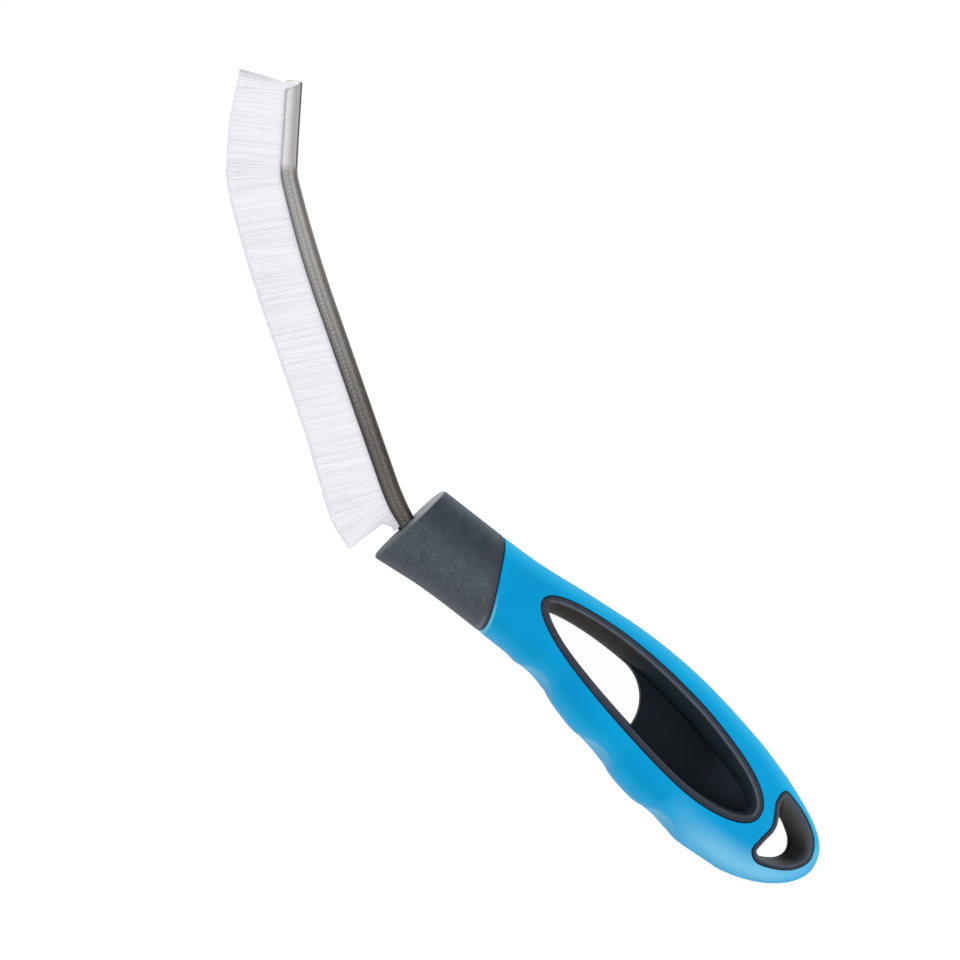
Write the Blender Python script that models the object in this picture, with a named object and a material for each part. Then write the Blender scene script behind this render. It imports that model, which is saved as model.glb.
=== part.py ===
# Detailing brush: a bent strip brush held in a moulded two-colour handle.
#
# The brush lies on its side. X runs along the handle towards its tail, Y runs across it away from the
# filaments, and Z is up through the thickness. Outlines are drawn from the middle of the collar's front
# face, in the middle of the thickness, and the last section moves the whole brush so that the origin is
# under the middle of its box. Lengths are in millimetres and angles in degrees until a mesh is made.

import math
import random

import bmesh
import bpy
from mathutils import Vector

MM = 0.001

# Clearance between pieces that seat on each other
SEAT_GAP = 0.3

# Handle outline, seen from above
HANDLE_LENGTH = 150.0
FRONT_HALF_WIDTH = 13.3
WAIST_HALF_WIDTH = 12.1
UPPER_CROWN = 17.1
LOWER_CROWN = 23.9
TAIL_DROP = 7.8
UPPER_FRONT_SWELL = 0.3
UPPER_SHOULDER_DROP = 1.4
UPPER_MIDDLE_DROP = 0.9
UPPER_FLANK_DROP = 4.7
UPPER_REAR_DROP = 8.0
LOWER_WAIST_SWELL = 1.1
LOWER_BELLY_RISE = 4.6
LOWER_FLANK_RISE = 0.7
LOWER_REAR_SWELL = 0.6
UPPER_TAIL_ROUNDING = 14.5
LOWER_TAIL_ROUNDING = 11.5
TAIL_LENGTH = 22.0
UPPER_TAIL_SLOPE = -0.34
LOWER_TAIL_SLOPE = 0.22

# Handle thickness and the rolled edge between its flat lands
HANDLE_THICKNESS = 24.0
FRONT_THICKNESS = 22.4
TAIL_THICKNESS = 17.0
EDGE_ROLL = 9.5
COLLAR_EDGE_ROLL = 7.5
EDGE_FULLNESS = 2.3
COLLAR_TAPER_SHARE = 0.6
TAIL_TAPER_START_SHARE = 0.75
TAIL_TAPER_END_SHARE = 0.5
TAIL_ROUND_SHARE = 0.45
TAIL_FULLNESS = 2.4

# Finger grooves along the lower edge
GROOVE_COUNT = 3
GROOVE_FIRST = 54.0
GROOVE_PITCH = 25.2
GROOVE_DEPTH = 2.2
GROOVE_SQUARING = 1.8

# Collar
COLLAR_LENGTH = 28.6
COLLAR_FRONT_ANGLE = 9.4
SEAM_ANGLE = -25.0
COLLAR_EDGE_RADIUS = 1.2
SEAM_CHAMFER = 0.5
SPIGOT_STEP = 3.8
SPIGOT_LENGTH = 10.0
SEAM_FADE_SHARE = 0.12

# Finger opening and its liner: how its middle rises above the handle's, by share of its length, and its sizes
OPENING_FROM_SEAM = 12.7
OPENING_TO_TAIL = 23.4
OPENING_HALF_HEIGHT = 10.9
OPENING_WIDEST_SHARE = 0.6
OPENING_FRONT_FULLNESS = 2.0
OPENING_REAR_FULLNESS = 2.14
OPENING_RAISE = ((0.0, 3.0), (0.12, 1.75), (0.28, 1.15), (0.62, 0.65), (1.0, 0.6))
LINER_RIM = 2.1
LINER_WAIST = 2.5
LINER_BELLY_SHARE = 0.75
LINER_BELLY_HEIGHT = 0.4
WEB_THICKNESS = 2.6
WEB_RISE = 3.6
WEB_RISE_LENGTH = 26.0
WEB_ARC_RADIUS = 12.75
WEB_ARC_FROM_FRONT = 29.9
WEB_ARC_DROP = 7.2
WEB_OVERLAP = 1.0
WEB_END_TRIM = 0.05

# Hang hole and its liner: knots of the crescent and of its narrow waist, as shares of the width and height
HANG_HOLE_WIDTH = 19.1
HANG_HOLE_HEIGHT = 21.1
HANG_HOLE_FROM_TAIL = 13.4
HANG_HOLE_RAISE = 1.0
HANG_RIM = 1.5
HANG_OUTLINE = (
    (-0.3, 0.03),
    (-0.455, 0.31),
    (-0.41, 0.505),
    (-0.18, 0.5),
    (0.14, 0.41),
    (0.42, 0.25),
    (0.545, 0.0),
    (0.4, -0.245),
    (0.125, -0.41),
    (-0.155, -0.495),
    (-0.33, -0.41),
    (-0.325, -0.22),
)
HANG_WAIST = (
    (-0.195, -0.01),
    (-0.225, 0.135),
    (-0.21, 0.22),
    (-0.125, 0.24),
    (0.01, 0.175),
    (0.14, 0.08),
    (0.21, -0.055),
    (0.155, -0.195),
    (0.02, -0.295),
    (-0.105, -0.335),
    (-0.19, -0.285),
    (-0.2, -0.15),
)

# Brush strip: how each stretch runs from the tip to the collar, as a length and a turn
TIP_LENGTH = 25.5
BEND_LENGTH = 5.5
BEND_TURN = 17.8
EASE_LENGTH = 24.0
EASE_TURN = 5.0
MAIN_LENGTH = 63.0
NECK_LENGTH = 13.0
NECK_TURN = 9.5
ENTRY_ANGLE = 24.0
TANG_LENGTH = 14.0
TANG_TURN = 12.0
ENTRY_RECESS = 0.6
ENTRY_DROP = 0.45
SOCKET_LEAD = 8.0

# Steel channel and its wire
CHANNEL_WIDTH = 4.8
CHANNEL_HEIGHT = 4.9
CHANNEL_WALL = 0.75
CHANNEL_CORNER = 1.3
CHANNEL_LIP_TURN = 0.35
CHANNEL_LIP_SHARE = 0.4
TIP_CUT_SLANT = 40.0
WIRE_DIAMETER = 1.0

# Filaments
FILAMENT_REACH = 17.3
HEEL_REACH = 18.8
HEEL_REACH_GROWTH = 35.0
TIP_REACH_DROP = 2.1
TIP_DROP_LENGTH = 15.0
FILAMENT_LEAN = 6.0
TIP_SPLAY = 10.0
HEEL_SPLAY = 6.0
SPLAY_LENGTH = 7.0
FAN_THICKNESS = 5.4
HEEL_CLEARANCE = 0.8
TIP_CLEARANCE = 0.3
STRAND_PITCH = 1.36
STRAND_ROWS = 2
STRAND_WIDTH_SHARE = 0.62
STRAND_TAPER = 0.8
STRAND_TRIM = 0.03
BEND_SECTION_MARGIN = 1.0
SECTION_NAMES = (
    "filaments_tip",
    "filaments_bend",
    "filaments_upper",
    "filaments_middle",
    "filaments_lower",
    "filaments_heel",
)
SECTION_GAP = 0.3

# Fineness of the meshes
STATION_STEP = 4.0
TAIL_STEP_SHARE = 0.28
TAIL_STEP_LEAST = 0.35
TAIL_END_TRIM = 0.02
LEAST_HALF_THICKNESS = 0.2
ROLL_SEGMENTS = 5
ROLL_LIMIT = 0.48
OPENING_POINTS = 48
WEB_STATIONS = 12
ARC_POINTS = 48
HANG_STEPS = 4
WIRE_POINTS = 10
STRIP_STEP = 0.1
TURN_PER_STATION = 2.5
FILAMENT_SEED = 7

# Finishes: colour, roughness and metallic value
FINISHES = {
    "grip_blue": ((0.004, 0.328, 0.680), 0.42, 0.0),
    "collar_charcoal": ((0.061, 0.071, 0.091), 0.70, 0.0),
    "liner_grey": ((0.045, 0.046, 0.054), 0.48, 0.0),
    "channel_steel": ((0.250, 0.240, 0.230), 0.38, 1.0),
    "wire_steel": ((0.450, 0.450, 0.440), 0.35, 1.0),
    "filament_white": ((0.870, 0.870, 0.930), 0.55, 0.0),
}

TAIL_START = HANDLE_LENGTH - TAIL_LENGTH


# General helpers

def clamp(value, low, high):
    return max(low, min(high, value))


def smoothStep(start, end, x):
    t = clamp((x - start) / (end - start), 0.0, 1.0)
    return t * t * (3.0 - 2.0 * t)


def hermite(t, y0, slope0, y1, slope1):
    s = t * t
    c = s * t
    return (2 * c - 3 * s + 1) * y0 + (c - 2 * s + t) * slope0 + (3 * s - 2 * c) * y1 + (c - s) * slope1


def curveThrough(knots, x):
    """A smooth curve through (x, y) knots, straight past its ends."""
    xs = [k[0] for k in knots]
    ys = [k[1] for k in knots]
    slopes = []
    for i in range(len(knots)):
        a = max(i - 1, 0)
        b = min(i + 1, len(knots) - 1)
        slopes.append((ys[b] - ys[a]) / (xs[b] - xs[a]))
    if x <= xs[0]:
        return ys[0] + slopes[0] * (x - xs[0])
    for i in range(len(knots) - 1):
        if x <= xs[i + 1]:
            span = xs[i + 1] - xs[i]
            t = (x - xs[i]) / span
            return hermite(t, ys[i], slopes[i] * span, ys[i + 1], slopes[i + 1] * span)
    return ys[-1] + slopes[-1] * (x - xs[-1])


def superRound(t, fullness):
    """1 in the middle, 0 at t = -1 and t = 1, with rounded ends."""
    return max(0.0, 1.0 - abs(t) ** fullness) ** (1.0 / fullness)


# Handle outline: stations are shares of the handle's length

UPPER_KNOTS = (
    (0.0, FRONT_HALF_WIDTH),
    (0.22 * HANDLE_LENGTH, FRONT_HALF_WIDTH + UPPER_FRONT_SWELL),
    (0.36 * HANDLE_LENGTH, UPPER_CROWN - UPPER_SHOULDER_DROP),
    (0.49 * HANDLE_LENGTH, UPPER_CROWN),
    (0.62 * HANDLE_LENGTH, UPPER_CROWN - UPPER_MIDDLE_DROP),
    (0.77 * HANDLE_LENGTH, UPPER_CROWN - UPPER_FLANK_DROP),
    (TAIL_START, UPPER_CROWN - UPPER_REAR_DROP),
)
LOWER_KNOTS = (
    (0.0, -FRONT_HALF_WIDTH),
    (0.10 * HANDLE_LENGTH, -WAIST_HALF_WIDTH),
    (0.25 * HANDLE_LENGTH, -WAIST_HALF_WIDTH),
    (0.36 * HANDLE_LENGTH, -WAIST_HALF_WIDTH - LOWER_WAIST_SWELL),
    (0.53 * HANDLE_LENGTH, -LOWER_CROWN + LOWER_BELLY_RISE),
    (0.69 * HANDLE_LENGTH, -LOWER_CROWN + LOWER_FLANK_RISE),
    (0.78 * HANDLE_LENGTH, -LOWER_CROWN - LOWER_REAR_SWELL),
    (TAIL_START, -LOWER_CROWN),
)


def tailShare(x):
    """How far round the tail a station lies: 0 where it starts, 1 at the end of the handle."""
    return 1.0 - math.sqrt(max(0.0, HANDLE_LENGTH - x) / TAIL_LENGTH)


def tailEdge(x, startY, slope, rounding, side):
    endSlope = -side * math.sqrt(2.0 * rounding * TAIL_LENGTH)
    return hermite(tailShare(x), startY, slope * 2.0 * TAIL_LENGTH, -TAIL_DROP, endSlope)


def upperEdge(x):
    if x <= TAIL_START:
        return curveThrough(UPPER_KNOTS, x)
    return tailEdge(x, UPPER_KNOTS[-1][1], UPPER_TAIL_SLOPE, UPPER_TAIL_ROUNDING, 1.0)


def lowerBase(x):
    if x <= TAIL_START:
        return curveThrough(LOWER_KNOTS, x)
    return tailEdge(x, LOWER_KNOTS[-1][1], LOWER_TAIL_SLOPE, LOWER_TAIL_ROUNDING, -1.0)


def grooveWave(x):
    """Finger grooves: 1 in a groove and -1 on a crest, fading out past the first and the last."""
    last = GROOVE_FIRST + (GROOVE_COUNT - 1) * GROOVE_PITCH
    half = 0.5 * GROOVE_PITCH
    fade = smoothStep(GROOVE_FIRST - half, GROOVE_FIRST, x) * (1.0 - smoothStep(last, last + half, x))
    return fade * math.cos(2.0 * math.pi * (x - GROOVE_FIRST) / GROOVE_PITCH)


def halfThickness(x):
    full = 0.5 * HANDLE_THICKNESS
    frontDrop = full - 0.5 * FRONT_THICKNESS
    tailDrop = full - 0.5 * TAIL_THICKNESS
    frontTaper = COLLAR_TAPER_SHARE * COLLAR_LENGTH
    taperStart = TAIL_START - TAIL_TAPER_START_SHARE * TAIL_LENGTH
    taperEnd = HANDLE_LENGTH - TAIL_TAPER_END_SHARE * TAIL_LENGTH
    endRound = TAIL_ROUND_SHARE * TAIL_LENGTH
    h = full
    if x < frontTaper:
        h -= frontDrop * (1.0 - x / frontTaper) ** 2
    if x > taperStart:
        h -= tailDrop * ((x - taperStart) / (taperEnd - taperStart)) ** 2
    if x > HANDLE_LENGTH - endRound:
        h *= superRound((x - HANDLE_LENGTH + endRound) / endRound, TAIL_FULLNESS)
    return h


def edgeRoll(x):
    blend = smoothStep(COLLAR_TAPER_SHARE * COLLAR_LENGTH, 2.0 * COLLAR_LENGTH, x)
    return COLLAR_EDGE_ROLL + (EDGE_ROLL - COLLAR_EDGE_ROLL) * blend


def surfaceHeight(x, y):
    """Height of the handle's upper face above its middle plane."""
    upper = upperEdge(x)
    lower = lowerBase(x)
    roll = min(edgeRoll(x), ROLL_LIMIT * (upper - lower))
    inside = max(0.0, min(upper - y, y - lower))
    if inside >= roll:
        return halfThickness(x)
    return halfThickness(x) * superRound((roll - inside) / roll, EDGE_FULLNESS)


def rollCorner(fullness):
    """A quarter round from the edge (1, 0) to the flat land (0, 1)."""
    corner = []
    for j in range(ROLL_SEGMENTS + 1):
        a = 0.5 * math.pi * j / ROLL_SEGMENTS
        out = math.cos(a) ** (2.0 / fullness) if j < ROLL_SEGMENTS else 0.0
        corner.append((out, math.sin(a) ** (2.0 / fullness)))
    return corner


def sectionRing(x, lean=0.0, inset=0.0):
    """One closed section of the handle. lean moves the ring along X with Y, for the slanted faces."""
    def shifted(edge):
        y = edge(x)
        for _ in range(3):
            y = edge(x + lean * y)
        return y
    upper = shifted(upperEdge) - inset
    lowerPlain = shifted(lowerBase) + inset
    lower = lowerPlain + 0.5 * GROOVE_DEPTH * grooveWave(x)
    lowerFullness = EDGE_FULLNESS + GROOVE_SQUARING * max(0.0, grooveWave(x))
    width = upper - lowerPlain
    roll = min(edgeRoll(x), ROLL_LIMIT * width)
    lowerRoll = roll - (lower - lowerPlain)
    half = [(upper - roll + roll * out, up) for out, up in rollCorner(EDGE_FULLNESS)]
    half.append((0.5 * (upper - roll + lower + lowerRoll), 1.0))
    half += [(lower + lowerRoll - lowerRoll * out, up) for out, up in reversed(rollCorner(lowerFullness))]
    points = []
    for y, up in half:
        place = x + lean * y
        points.append((place, y, up * max(LEAST_HALF_THICKNESS, halfThickness(place) - inset)))
    under = [(px, py, -pz) for px, py, pz in reversed(points[1:-1])]
    return points + under


# Mesh helpers

def finish(name):
    colour, roughness, metallic = FINISHES[name]
    material = bpy.data.materials.get(name)
    if material is None:
        material = bpy.data.materials.new(name)
        material.use_nodes = True
        shader = material.node_tree.nodes["Principled BSDF"]
        shader.inputs["Base Color"].default_value = (*colour, 1.0)
        shader.inputs["Roughness"].default_value = roughness
        shader.inputs["Metallic"].default_value = metallic
    return material


def makeObject(name, points, faces, material, cutter=False, smoothAngle=38.0):
    """An object from points in millimetres and faces as index lists, with its faces turned outwards."""
    mesh = bpy.data.meshes.new(name)
    mesh.from_pydata([tuple(MM * c for c in p) for p in points], [], faces)
    tidy = bmesh.new()
    tidy.from_mesh(mesh)
    bmesh.ops.recalc_face_normals(tidy, faces=tidy.faces)
    tidy.to_mesh(mesh)
    tidy.free()
    mesh.update()
    obj = bpy.data.objects.new(name, mesh)
    bpy.context.scene.collection.objects.link(obj)
    obj.parent = brush
    if cutter:
        obj.hide_render = True
        obj.display_type = "WIRE"
    else:
        mesh.materials.append(finish(material))
        mesh.shade_smooth()
        mesh.set_sharp_from_angle(angle=math.radians(smoothAngle))
    return obj


def loftRings(rings, closeStart=True, closeEnd=True):
    """Points and faces of a tube of rings that all have the same number of points."""
    count = len(rings[0])
    points = [p for ring in rings for p in ring]
    faces = []
    for i in range(len(rings) - 1):
        for j in range(count):
            k = (j + 1) % count
            faces.append((i * count + j, i * count + k, (i + 1) * count + k, (i + 1) * count + j))
    last = (len(rings) - 1) * count
    if closeStart:
        faces.append(tuple(range(count)))
    if closeEnd:
        faces.append(tuple(last + j for j in reversed(range(count))))
    return points, faces


def closedLoft(rings):
    """A lofted band whose last ring joins its first, as on a liner."""
    count = len(rings[0])
    points = [p for ring in rings for p in ring]
    faces = []
    for i in range(len(rings)):
        n = (i + 1) % len(rings)
        for j in range(count):
            k = (j + 1) % count
            faces.append((i * count + j, i * count + k, n * count + k, n * count + j))
    return points, faces


def cut(obj, cutter, operation="DIFFERENCE"):
    modifier = obj.modifiers.new(cutter.name, "BOOLEAN")
    modifier.operation = operation
    modifier.solver = "EXACT"
    modifier.object = cutter


def prism(name, outline, low, high):
    rings = [[(x, y, low) for x, y in outline], [(x, y, high) for x, y in outline]]
    points, faces = loftRings(rings)
    return makeObject(name, points, faces, None, cutter=True)


# Opening outlines

SEAM_SLOPE = math.tan(math.radians(SEAM_ANGLE))
FRONT_SLOPE = math.tan(math.radians(COLLAR_FRONT_ANGLE))
HANG_CENTRE_X = HANDLE_LENGTH - HANG_HOLE_FROM_TAIL
HANG_CENTRE_Y = -TAIL_DROP + HANG_HOLE_RAISE
OPENING_START = COLLAR_LENGTH + OPENING_FROM_SEAM
OPENING_END = HANDLE_LENGTH - OPENING_TO_TAIL
OPENING_LENGTH = OPENING_END - OPENING_START
OPENING_WIDEST = OPENING_START + OPENING_WIDEST_SHARE * OPENING_LENGTH


def openingSide(x):
    """How far the finger opening runs from its widest place to the end on this side, and its fullness."""
    if x < OPENING_WIDEST:
        return OPENING_WIDEST - OPENING_START, OPENING_FRONT_FULLNESS
    return OPENING_END - OPENING_WIDEST, OPENING_REAR_FULLNESS


def openingMiddle(x):
    raised = curveThrough(OPENING_RAISE, (x - OPENING_START) / OPENING_LENGTH)
    return 0.5 * (upperEdge(x) + lowerBase(x)) + raised


def openingEdges(x, inset=0.0):
    """Upper and lower edge of the finger opening at a station, moved in by inset."""
    length, fullness = openingSide(x)
    t = clamp((x - OPENING_WIDEST) / (length - inset), -1.0, 1.0)
    half = (OPENING_HALF_HEIGHT - inset) * superRound(t, fullness)
    return openingMiddle(x) + half, openingMiddle(x) - half


def insetLine(points, inset):
    """A closed clockwise line moved inwards."""
    moved = []
    for i, (x, y) in enumerate(points):
        before = points[i - 1]
        after = points[(i + 1) % len(points)]
        run = Vector((after[0] - before[0], after[1] - before[1])).normalized()
        moved.append((x + inset * run.y, y - inset * run.x))
    return moved


def openingOutline(inset=0.0):
    """Closed outline of the finger opening. The rim keeps its width, and what is further in is scaled."""
    even = min(inset, LINER_RIM)
    outline = []
    for i in range(OPENING_POINTS):
        a = 2.0 * math.pi * i / OPENING_POINTS
        length, fullness = openingSide(OPENING_WIDEST - math.cos(a))
        u = -math.copysign(abs(math.cos(a)) ** (2.0 / fullness), math.cos(a))
        v = math.copysign(abs(math.sin(a)) ** (2.0 / fullness), math.sin(a))
        x = OPENING_WIDEST + length * u
        outline.append((x, openingMiddle(x) + OPENING_HALF_HEIGHT * v))
    scaled = []
    for x, y in insetLine(outline, even):
        length, _ = openingSide(x)
        narrower = (inset - even) / (length - even)
        lower = (inset - even) / (OPENING_HALF_HEIGHT - even)
        nearer = OPENING_WIDEST + (x - OPENING_WIDEST) * (1.0 - narrower)
        scaled.append((nearer, openingMiddle(nearer) + (y - openingMiddle(x)) * (1.0 - lower)))
    return scaled


def hangLine(knots):
    """A smooth closed line through knots that are shares of the hang hole's width and height."""
    places = [(HANG_CENTRE_X + HANG_HOLE_WIDTH * u, HANG_CENTRE_Y + HANG_HOLE_HEIGHT * v) for u, v in knots]
    line = []
    for i in range(len(places)):
        a, b, c, d = [places[(i + k - 1) % len(places)] for k in range(4)]
        for j in range(HANG_STEPS):
            t = j / HANG_STEPS
            x = hermite(t, b[0], 0.5 * (c[0] - a[0]), c[0], 0.5 * (d[0] - b[0]))
            y = hermite(t, b[1], 0.5 * (c[1] - a[1]), c[1], 0.5 * (d[1] - b[1]))
            line.append((x, y))
    return line


def hangOutline(inset=0.0):
    """Closed crescent outline of the hang hole, moved in by inset."""
    return insetLine(hangLine(HANG_OUTLINE), inset)


def linerRings(outlineAt, rim, waist):
    """Rings of a liner: its outer wall, its rim on the handle's surface and its narrowing inner wall."""
    top = []
    for inset in (SEAT_GAP, 0.5 * rim, rim):
        top.append([(x, y, surfaceHeight(x, y)) for x, y in outlineAt(inset)])
    belly = []
    for (x, y, z), (waistX, waistY) in zip(top[-1], waist):
        bellyX = x + LINER_BELLY_SHARE * (waistX - x)
        bellyY = y + LINER_BELLY_SHARE * (waistY - y)
        belly.append((bellyX, bellyY, LINER_BELLY_HEIGHT * z))
    top.append(belly)
    bottom = [[(x, y, -z) for x, y, z in ring] for ring in reversed(top)]
    return top + [[(x, y, 0.0) for x, y in waist]] + bottom


# Brush strip path, from the tip to the end of the tang

STRIP_STRETCHES = (
    (TIP_LENGTH, 0.0),
    (BEND_LENGTH, BEND_TURN),
    (EASE_LENGTH, EASE_TURN),
    (MAIN_LENGTH, 0.0),
    (NECK_LENGTH, NECK_TURN),
    (TANG_LENGTH, TANG_TURN),
)
OUTSIDE_LENGTH = TIP_LENGTH + BEND_LENGTH + EASE_LENGTH + MAIN_LENGTH + NECK_LENGTH
STRIP_LENGTH = OUTSIDE_LENGTH + TANG_LENGTH
TIP_ANGLE = ENTRY_ANGLE + BEND_TURN + EASE_TURN + NECK_TURN
CUT_SLOPE = math.tan(math.radians(TIP_CUT_SLANT))


def headingAt(s):
    """Angle below the handle's axis in which the strip runs, s millimetres from its tip."""
    angle = TIP_ANGLE
    for length, turn in STRIP_STRETCHES:
        angle -= turn * clamp(s / length, 0.0, 1.0)
        s -= length
    return math.radians(angle)


def makeStripPath():
    """Points of the strip's middle line, one each STRIP_STEP, placed so that it enters the collar."""
    points = [Vector((0.0, 0.0))]
    for i in range(int(round(STRIP_LENGTH / STRIP_STEP))):
        a = headingAt((i + 0.5) * STRIP_STEP)
        points.append(points[-1] + STRIP_STEP * Vector((math.cos(a), -math.sin(a))))
    entry = points[int(round(OUTSIDE_LENGTH / STRIP_STEP))]
    move = Vector((-ENTRY_RECESS, -ENTRY_DROP)) - entry
    return [p + move for p in points]


STRIP_PATH = makeStripPath()


def stripFrame(s):
    """Place on the strip's middle line, the way it runs, and the way its filaments point."""
    a = headingAt(s)
    along = Vector((math.cos(a), -math.sin(a)))
    across = Vector((-math.sin(a), -math.cos(a)))
    steps = clamp(s / STRIP_STEP, 0.0, len(STRIP_PATH) - 1.001)
    i = int(steps)
    place = STRIP_PATH[i].lerp(STRIP_PATH[i + 1], steps - i)
    if s < 0.0:
        place = STRIP_PATH[0] + s * along
    return place, along, across


def stripStations(start, end):
    """Stations along the strip: close together in its bends and far apart where it is straight."""
    stations = [start]
    s = 0.0
    for length, turn in STRIP_STRETCHES:
        steps = max(1, int(math.ceil(abs(turn) / TURN_PER_STATION)))
        for i in range(1, steps + 1):
            place = s + length * i / steps
            if start + 0.5 < place < end - 0.5:
                stations.append(place)
        s += length
    stations.append(end)
    return stations


def sweepProfile(profile, start, end, slope=0.0):
    """Rings of a profile (filament direction, Z) carried along the strip. slope tilts the first ring."""
    rings = []
    for i, s in enumerate(stripStations(start, end)):
        ring = []
        for u, z in profile:
            shift = slope * (z + 0.5 * CHANNEL_WIDTH) if i == 0 else 0.0
            place, _, across = stripFrame(s + shift)
            p = place + u * across
            ring.append((p.x, p.y, z))
        rings.append(ring)
    return rings


def channelProfile():
    """U section of the channel: open towards the filaments, round at the back, lips turned in."""
    h = 0.5 * CHANNEL_HEIGHT
    w = 0.5 * CHANNEL_WIDTH
    lip = w - CHANNEL_LIP_TURN
    inner = w - CHANNEL_WALL
    floor = -h + CHANNEL_WALL
    quarter = [math.radians(a) for a in (0.0, 30.0, 60.0, 90.0)]
    cornerU = -h + CHANNEL_CORNER
    cornerZ = w - CHANNEL_CORNER
    side = [(h, lip), (CHANNEL_LIP_SHARE * h, w)]
    for a in quarter:
        side.append((cornerU - CHANNEL_CORNER * math.sin(a), cornerZ + CHANNEL_CORNER * math.cos(a)))
    outer = side + [(u, -z) for u, z in reversed(side)]
    inside = [(h, -lip + CHANNEL_WALL), (CHANNEL_LIP_SHARE * h, -inner), (floor, -inner)]
    return outer + inside + [(u, -z) for u, z in reversed(inside)]


def boxProfile(u0, u1, w):
    return [(u0, -w), (u1, -w), (u1, w), (u0, w)]


# Build

for old in list(bpy.data.objects):
    bpy.data.objects.remove(old, do_unlink=True)

brush = bpy.data.objects.new("brush", None)
bpy.context.scene.collection.objects.link(brush)


def buildCollar():
    rings = [
        sectionRing(0.0, FRONT_SLOPE, COLLAR_EDGE_RADIUS),
        sectionRing(0.3 * COLLAR_EDGE_RADIUS, FRONT_SLOPE, 0.3 * COLLAR_EDGE_RADIUS),
        sectionRing(COLLAR_EDGE_RADIUS, FRONT_SLOPE),
    ]
    steps = int(COLLAR_LENGTH / STATION_STEP)
    start = COLLAR_EDGE_RADIUS
    end = COLLAR_LENGTH - SEAM_CHAMFER
    for i in range(1, steps + 1):
        t = i / steps
        rings.append(sectionRing(start + (end - start) * t, FRONT_SLOPE + (SEAM_SLOPE - FRONT_SLOPE) * t))
    rings.append(sectionRing(COLLAR_LENGTH, SEAM_SLOPE, SEAM_CHAMFER))
    rings.append(sectionRing(COLLAR_LENGTH, SEAM_SLOPE, SPIGOT_STEP))
    rings.append(sectionRing(COLLAR_LENGTH + SPIGOT_LENGTH, SEAM_SLOPE, SPIGOT_STEP))
    points, faces = loftRings(rings)
    collar = makeObject("collar", points, faces, "collar_charcoal")
    h = 0.5 * CHANNEL_HEIGHT + SEAT_GAP
    w = 0.5 * CHANNEL_WIDTH + SEAT_GAP
    socket = sweepProfile(boxProfile(-h, h, w), OUTSIDE_LENGTH - SOCKET_LEAD, STRIP_LENGTH)
    points, faces = loftRings(socket)
    cut(collar, makeObject("strip_socket_cutter", points, faces, None, cutter=True))


def buildGrip():
    seat = COLLAR_LENGTH + SEAT_GAP
    hollow = SPIGOT_STEP - SEAT_GAP
    floor = seat + SPIGOT_LENGTH
    rings = [
        sectionRing(floor, SEAM_SLOPE, hollow),
        sectionRing(seat, SEAM_SLOPE, hollow),
        sectionRing(seat, SEAM_SLOPE, SEAM_CHAMFER),
    ]
    straight = OPENING_START + SEAM_FADE_SHARE * OPENING_LENGTH
    end = HANDLE_LENGTH - TAIL_END_TRIM
    x = seat + SEAM_CHAMFER
    while x < end - 0.5:
        lean = SEAM_SLOPE * (1.0 - smoothStep(seat, straight, x))
        rings.append(sectionRing(x, lean))
        if x > TAIL_START - STATION_STEP:
            x += max(TAIL_STEP_LEAST, TAIL_STEP_SHARE * (end - x))
            x = min(x, end) if x < end - 0.5 else end
        else:
            x += STATION_STEP
    rings.append(sectionRing(end))
    points, faces = loftRings(rings)
    grip = makeObject("grip_body", points, faces, "grip_blue")
    reach = HANDLE_THICKNESS
    cut(grip, prism("finger_opening_cutter", openingOutline(), -reach, reach))
    cut(grip, prism("hang_hole_cutter", hangOutline(), -reach, reach))


def webRings():
    """The web across the rear of the finger opening: a plate that thickens towards the tail."""
    inset = LINER_RIM + LINER_WAIST - WEB_OVERLAP
    start = OPENING_START + WEB_ARC_FROM_FRONT
    rings = []
    for i in range(WEB_STATIONS + 1):
        share = math.sin(0.5 * math.pi * i / WEB_STATIONS)
        x = start + (OPENING_END - inset - WEB_END_TRIM - start) * share
        high, low = openingEdges(x, inset)
        rise = WEB_RISE * smoothStep(OPENING_END - WEB_RISE_LENGTH, OPENING_END, x)
        z = 0.5 * WEB_THICKNESS + rise
        rings.append([(x, high, -z), (x, high, z), (x, low, z), (x, low, -z)])
    return rings


def buildFingerOpeningLiner():
    waist = openingOutline(LINER_RIM + LINER_WAIST)
    points, faces = closedLoft(linerRings(openingOutline, LINER_RIM, waist))
    liner = makeObject("finger_opening_liner", points, faces, "liner_grey")
    points, faces = loftRings(webRings())
    web = makeObject("web_tool", points, faces, None, cutter=True)
    arcX = OPENING_START + WEB_ARC_FROM_FRONT
    arcY = openingMiddle(arcX) - WEB_ARC_DROP
    disc = []
    for i in range(ARC_POINTS):
        a = 2.0 * math.pi * i / ARC_POINTS
        disc.append((arcX + WEB_ARC_RADIUS * math.cos(a), arcY + WEB_ARC_RADIUS * math.sin(a)))
    cut(web, prism("web_arc_cutter", disc, -HANDLE_THICKNESS, HANDLE_THICKNESS))
    cut(liner, web, "UNION")


def buildHangHoleLiner():
    points, faces = closedLoft(linerRings(hangOutline, HANG_RIM, hangLine(HANG_WAIST)))
    makeObject("hang_hole_liner", points, faces, "liner_grey")


def buildChannel():
    rings = sweepProfile(channelProfile(), 0.0, STRIP_LENGTH - SEAT_GAP, CUT_SLOPE)
    points, faces = loftRings(rings)
    makeObject("strip_channel", points, faces, "channel_steel")


BACKING_HALF_WIDTH = 0.5 * CHANNEL_WIDTH - CHANNEL_WALL - CHANNEL_LIP_TURN - SEAT_GAP


def wireCentre():
    return -0.5 * CHANNEL_HEIGHT + CHANNEL_WALL + SEAT_GAP + 0.5 * WIRE_DIAMETER


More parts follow.
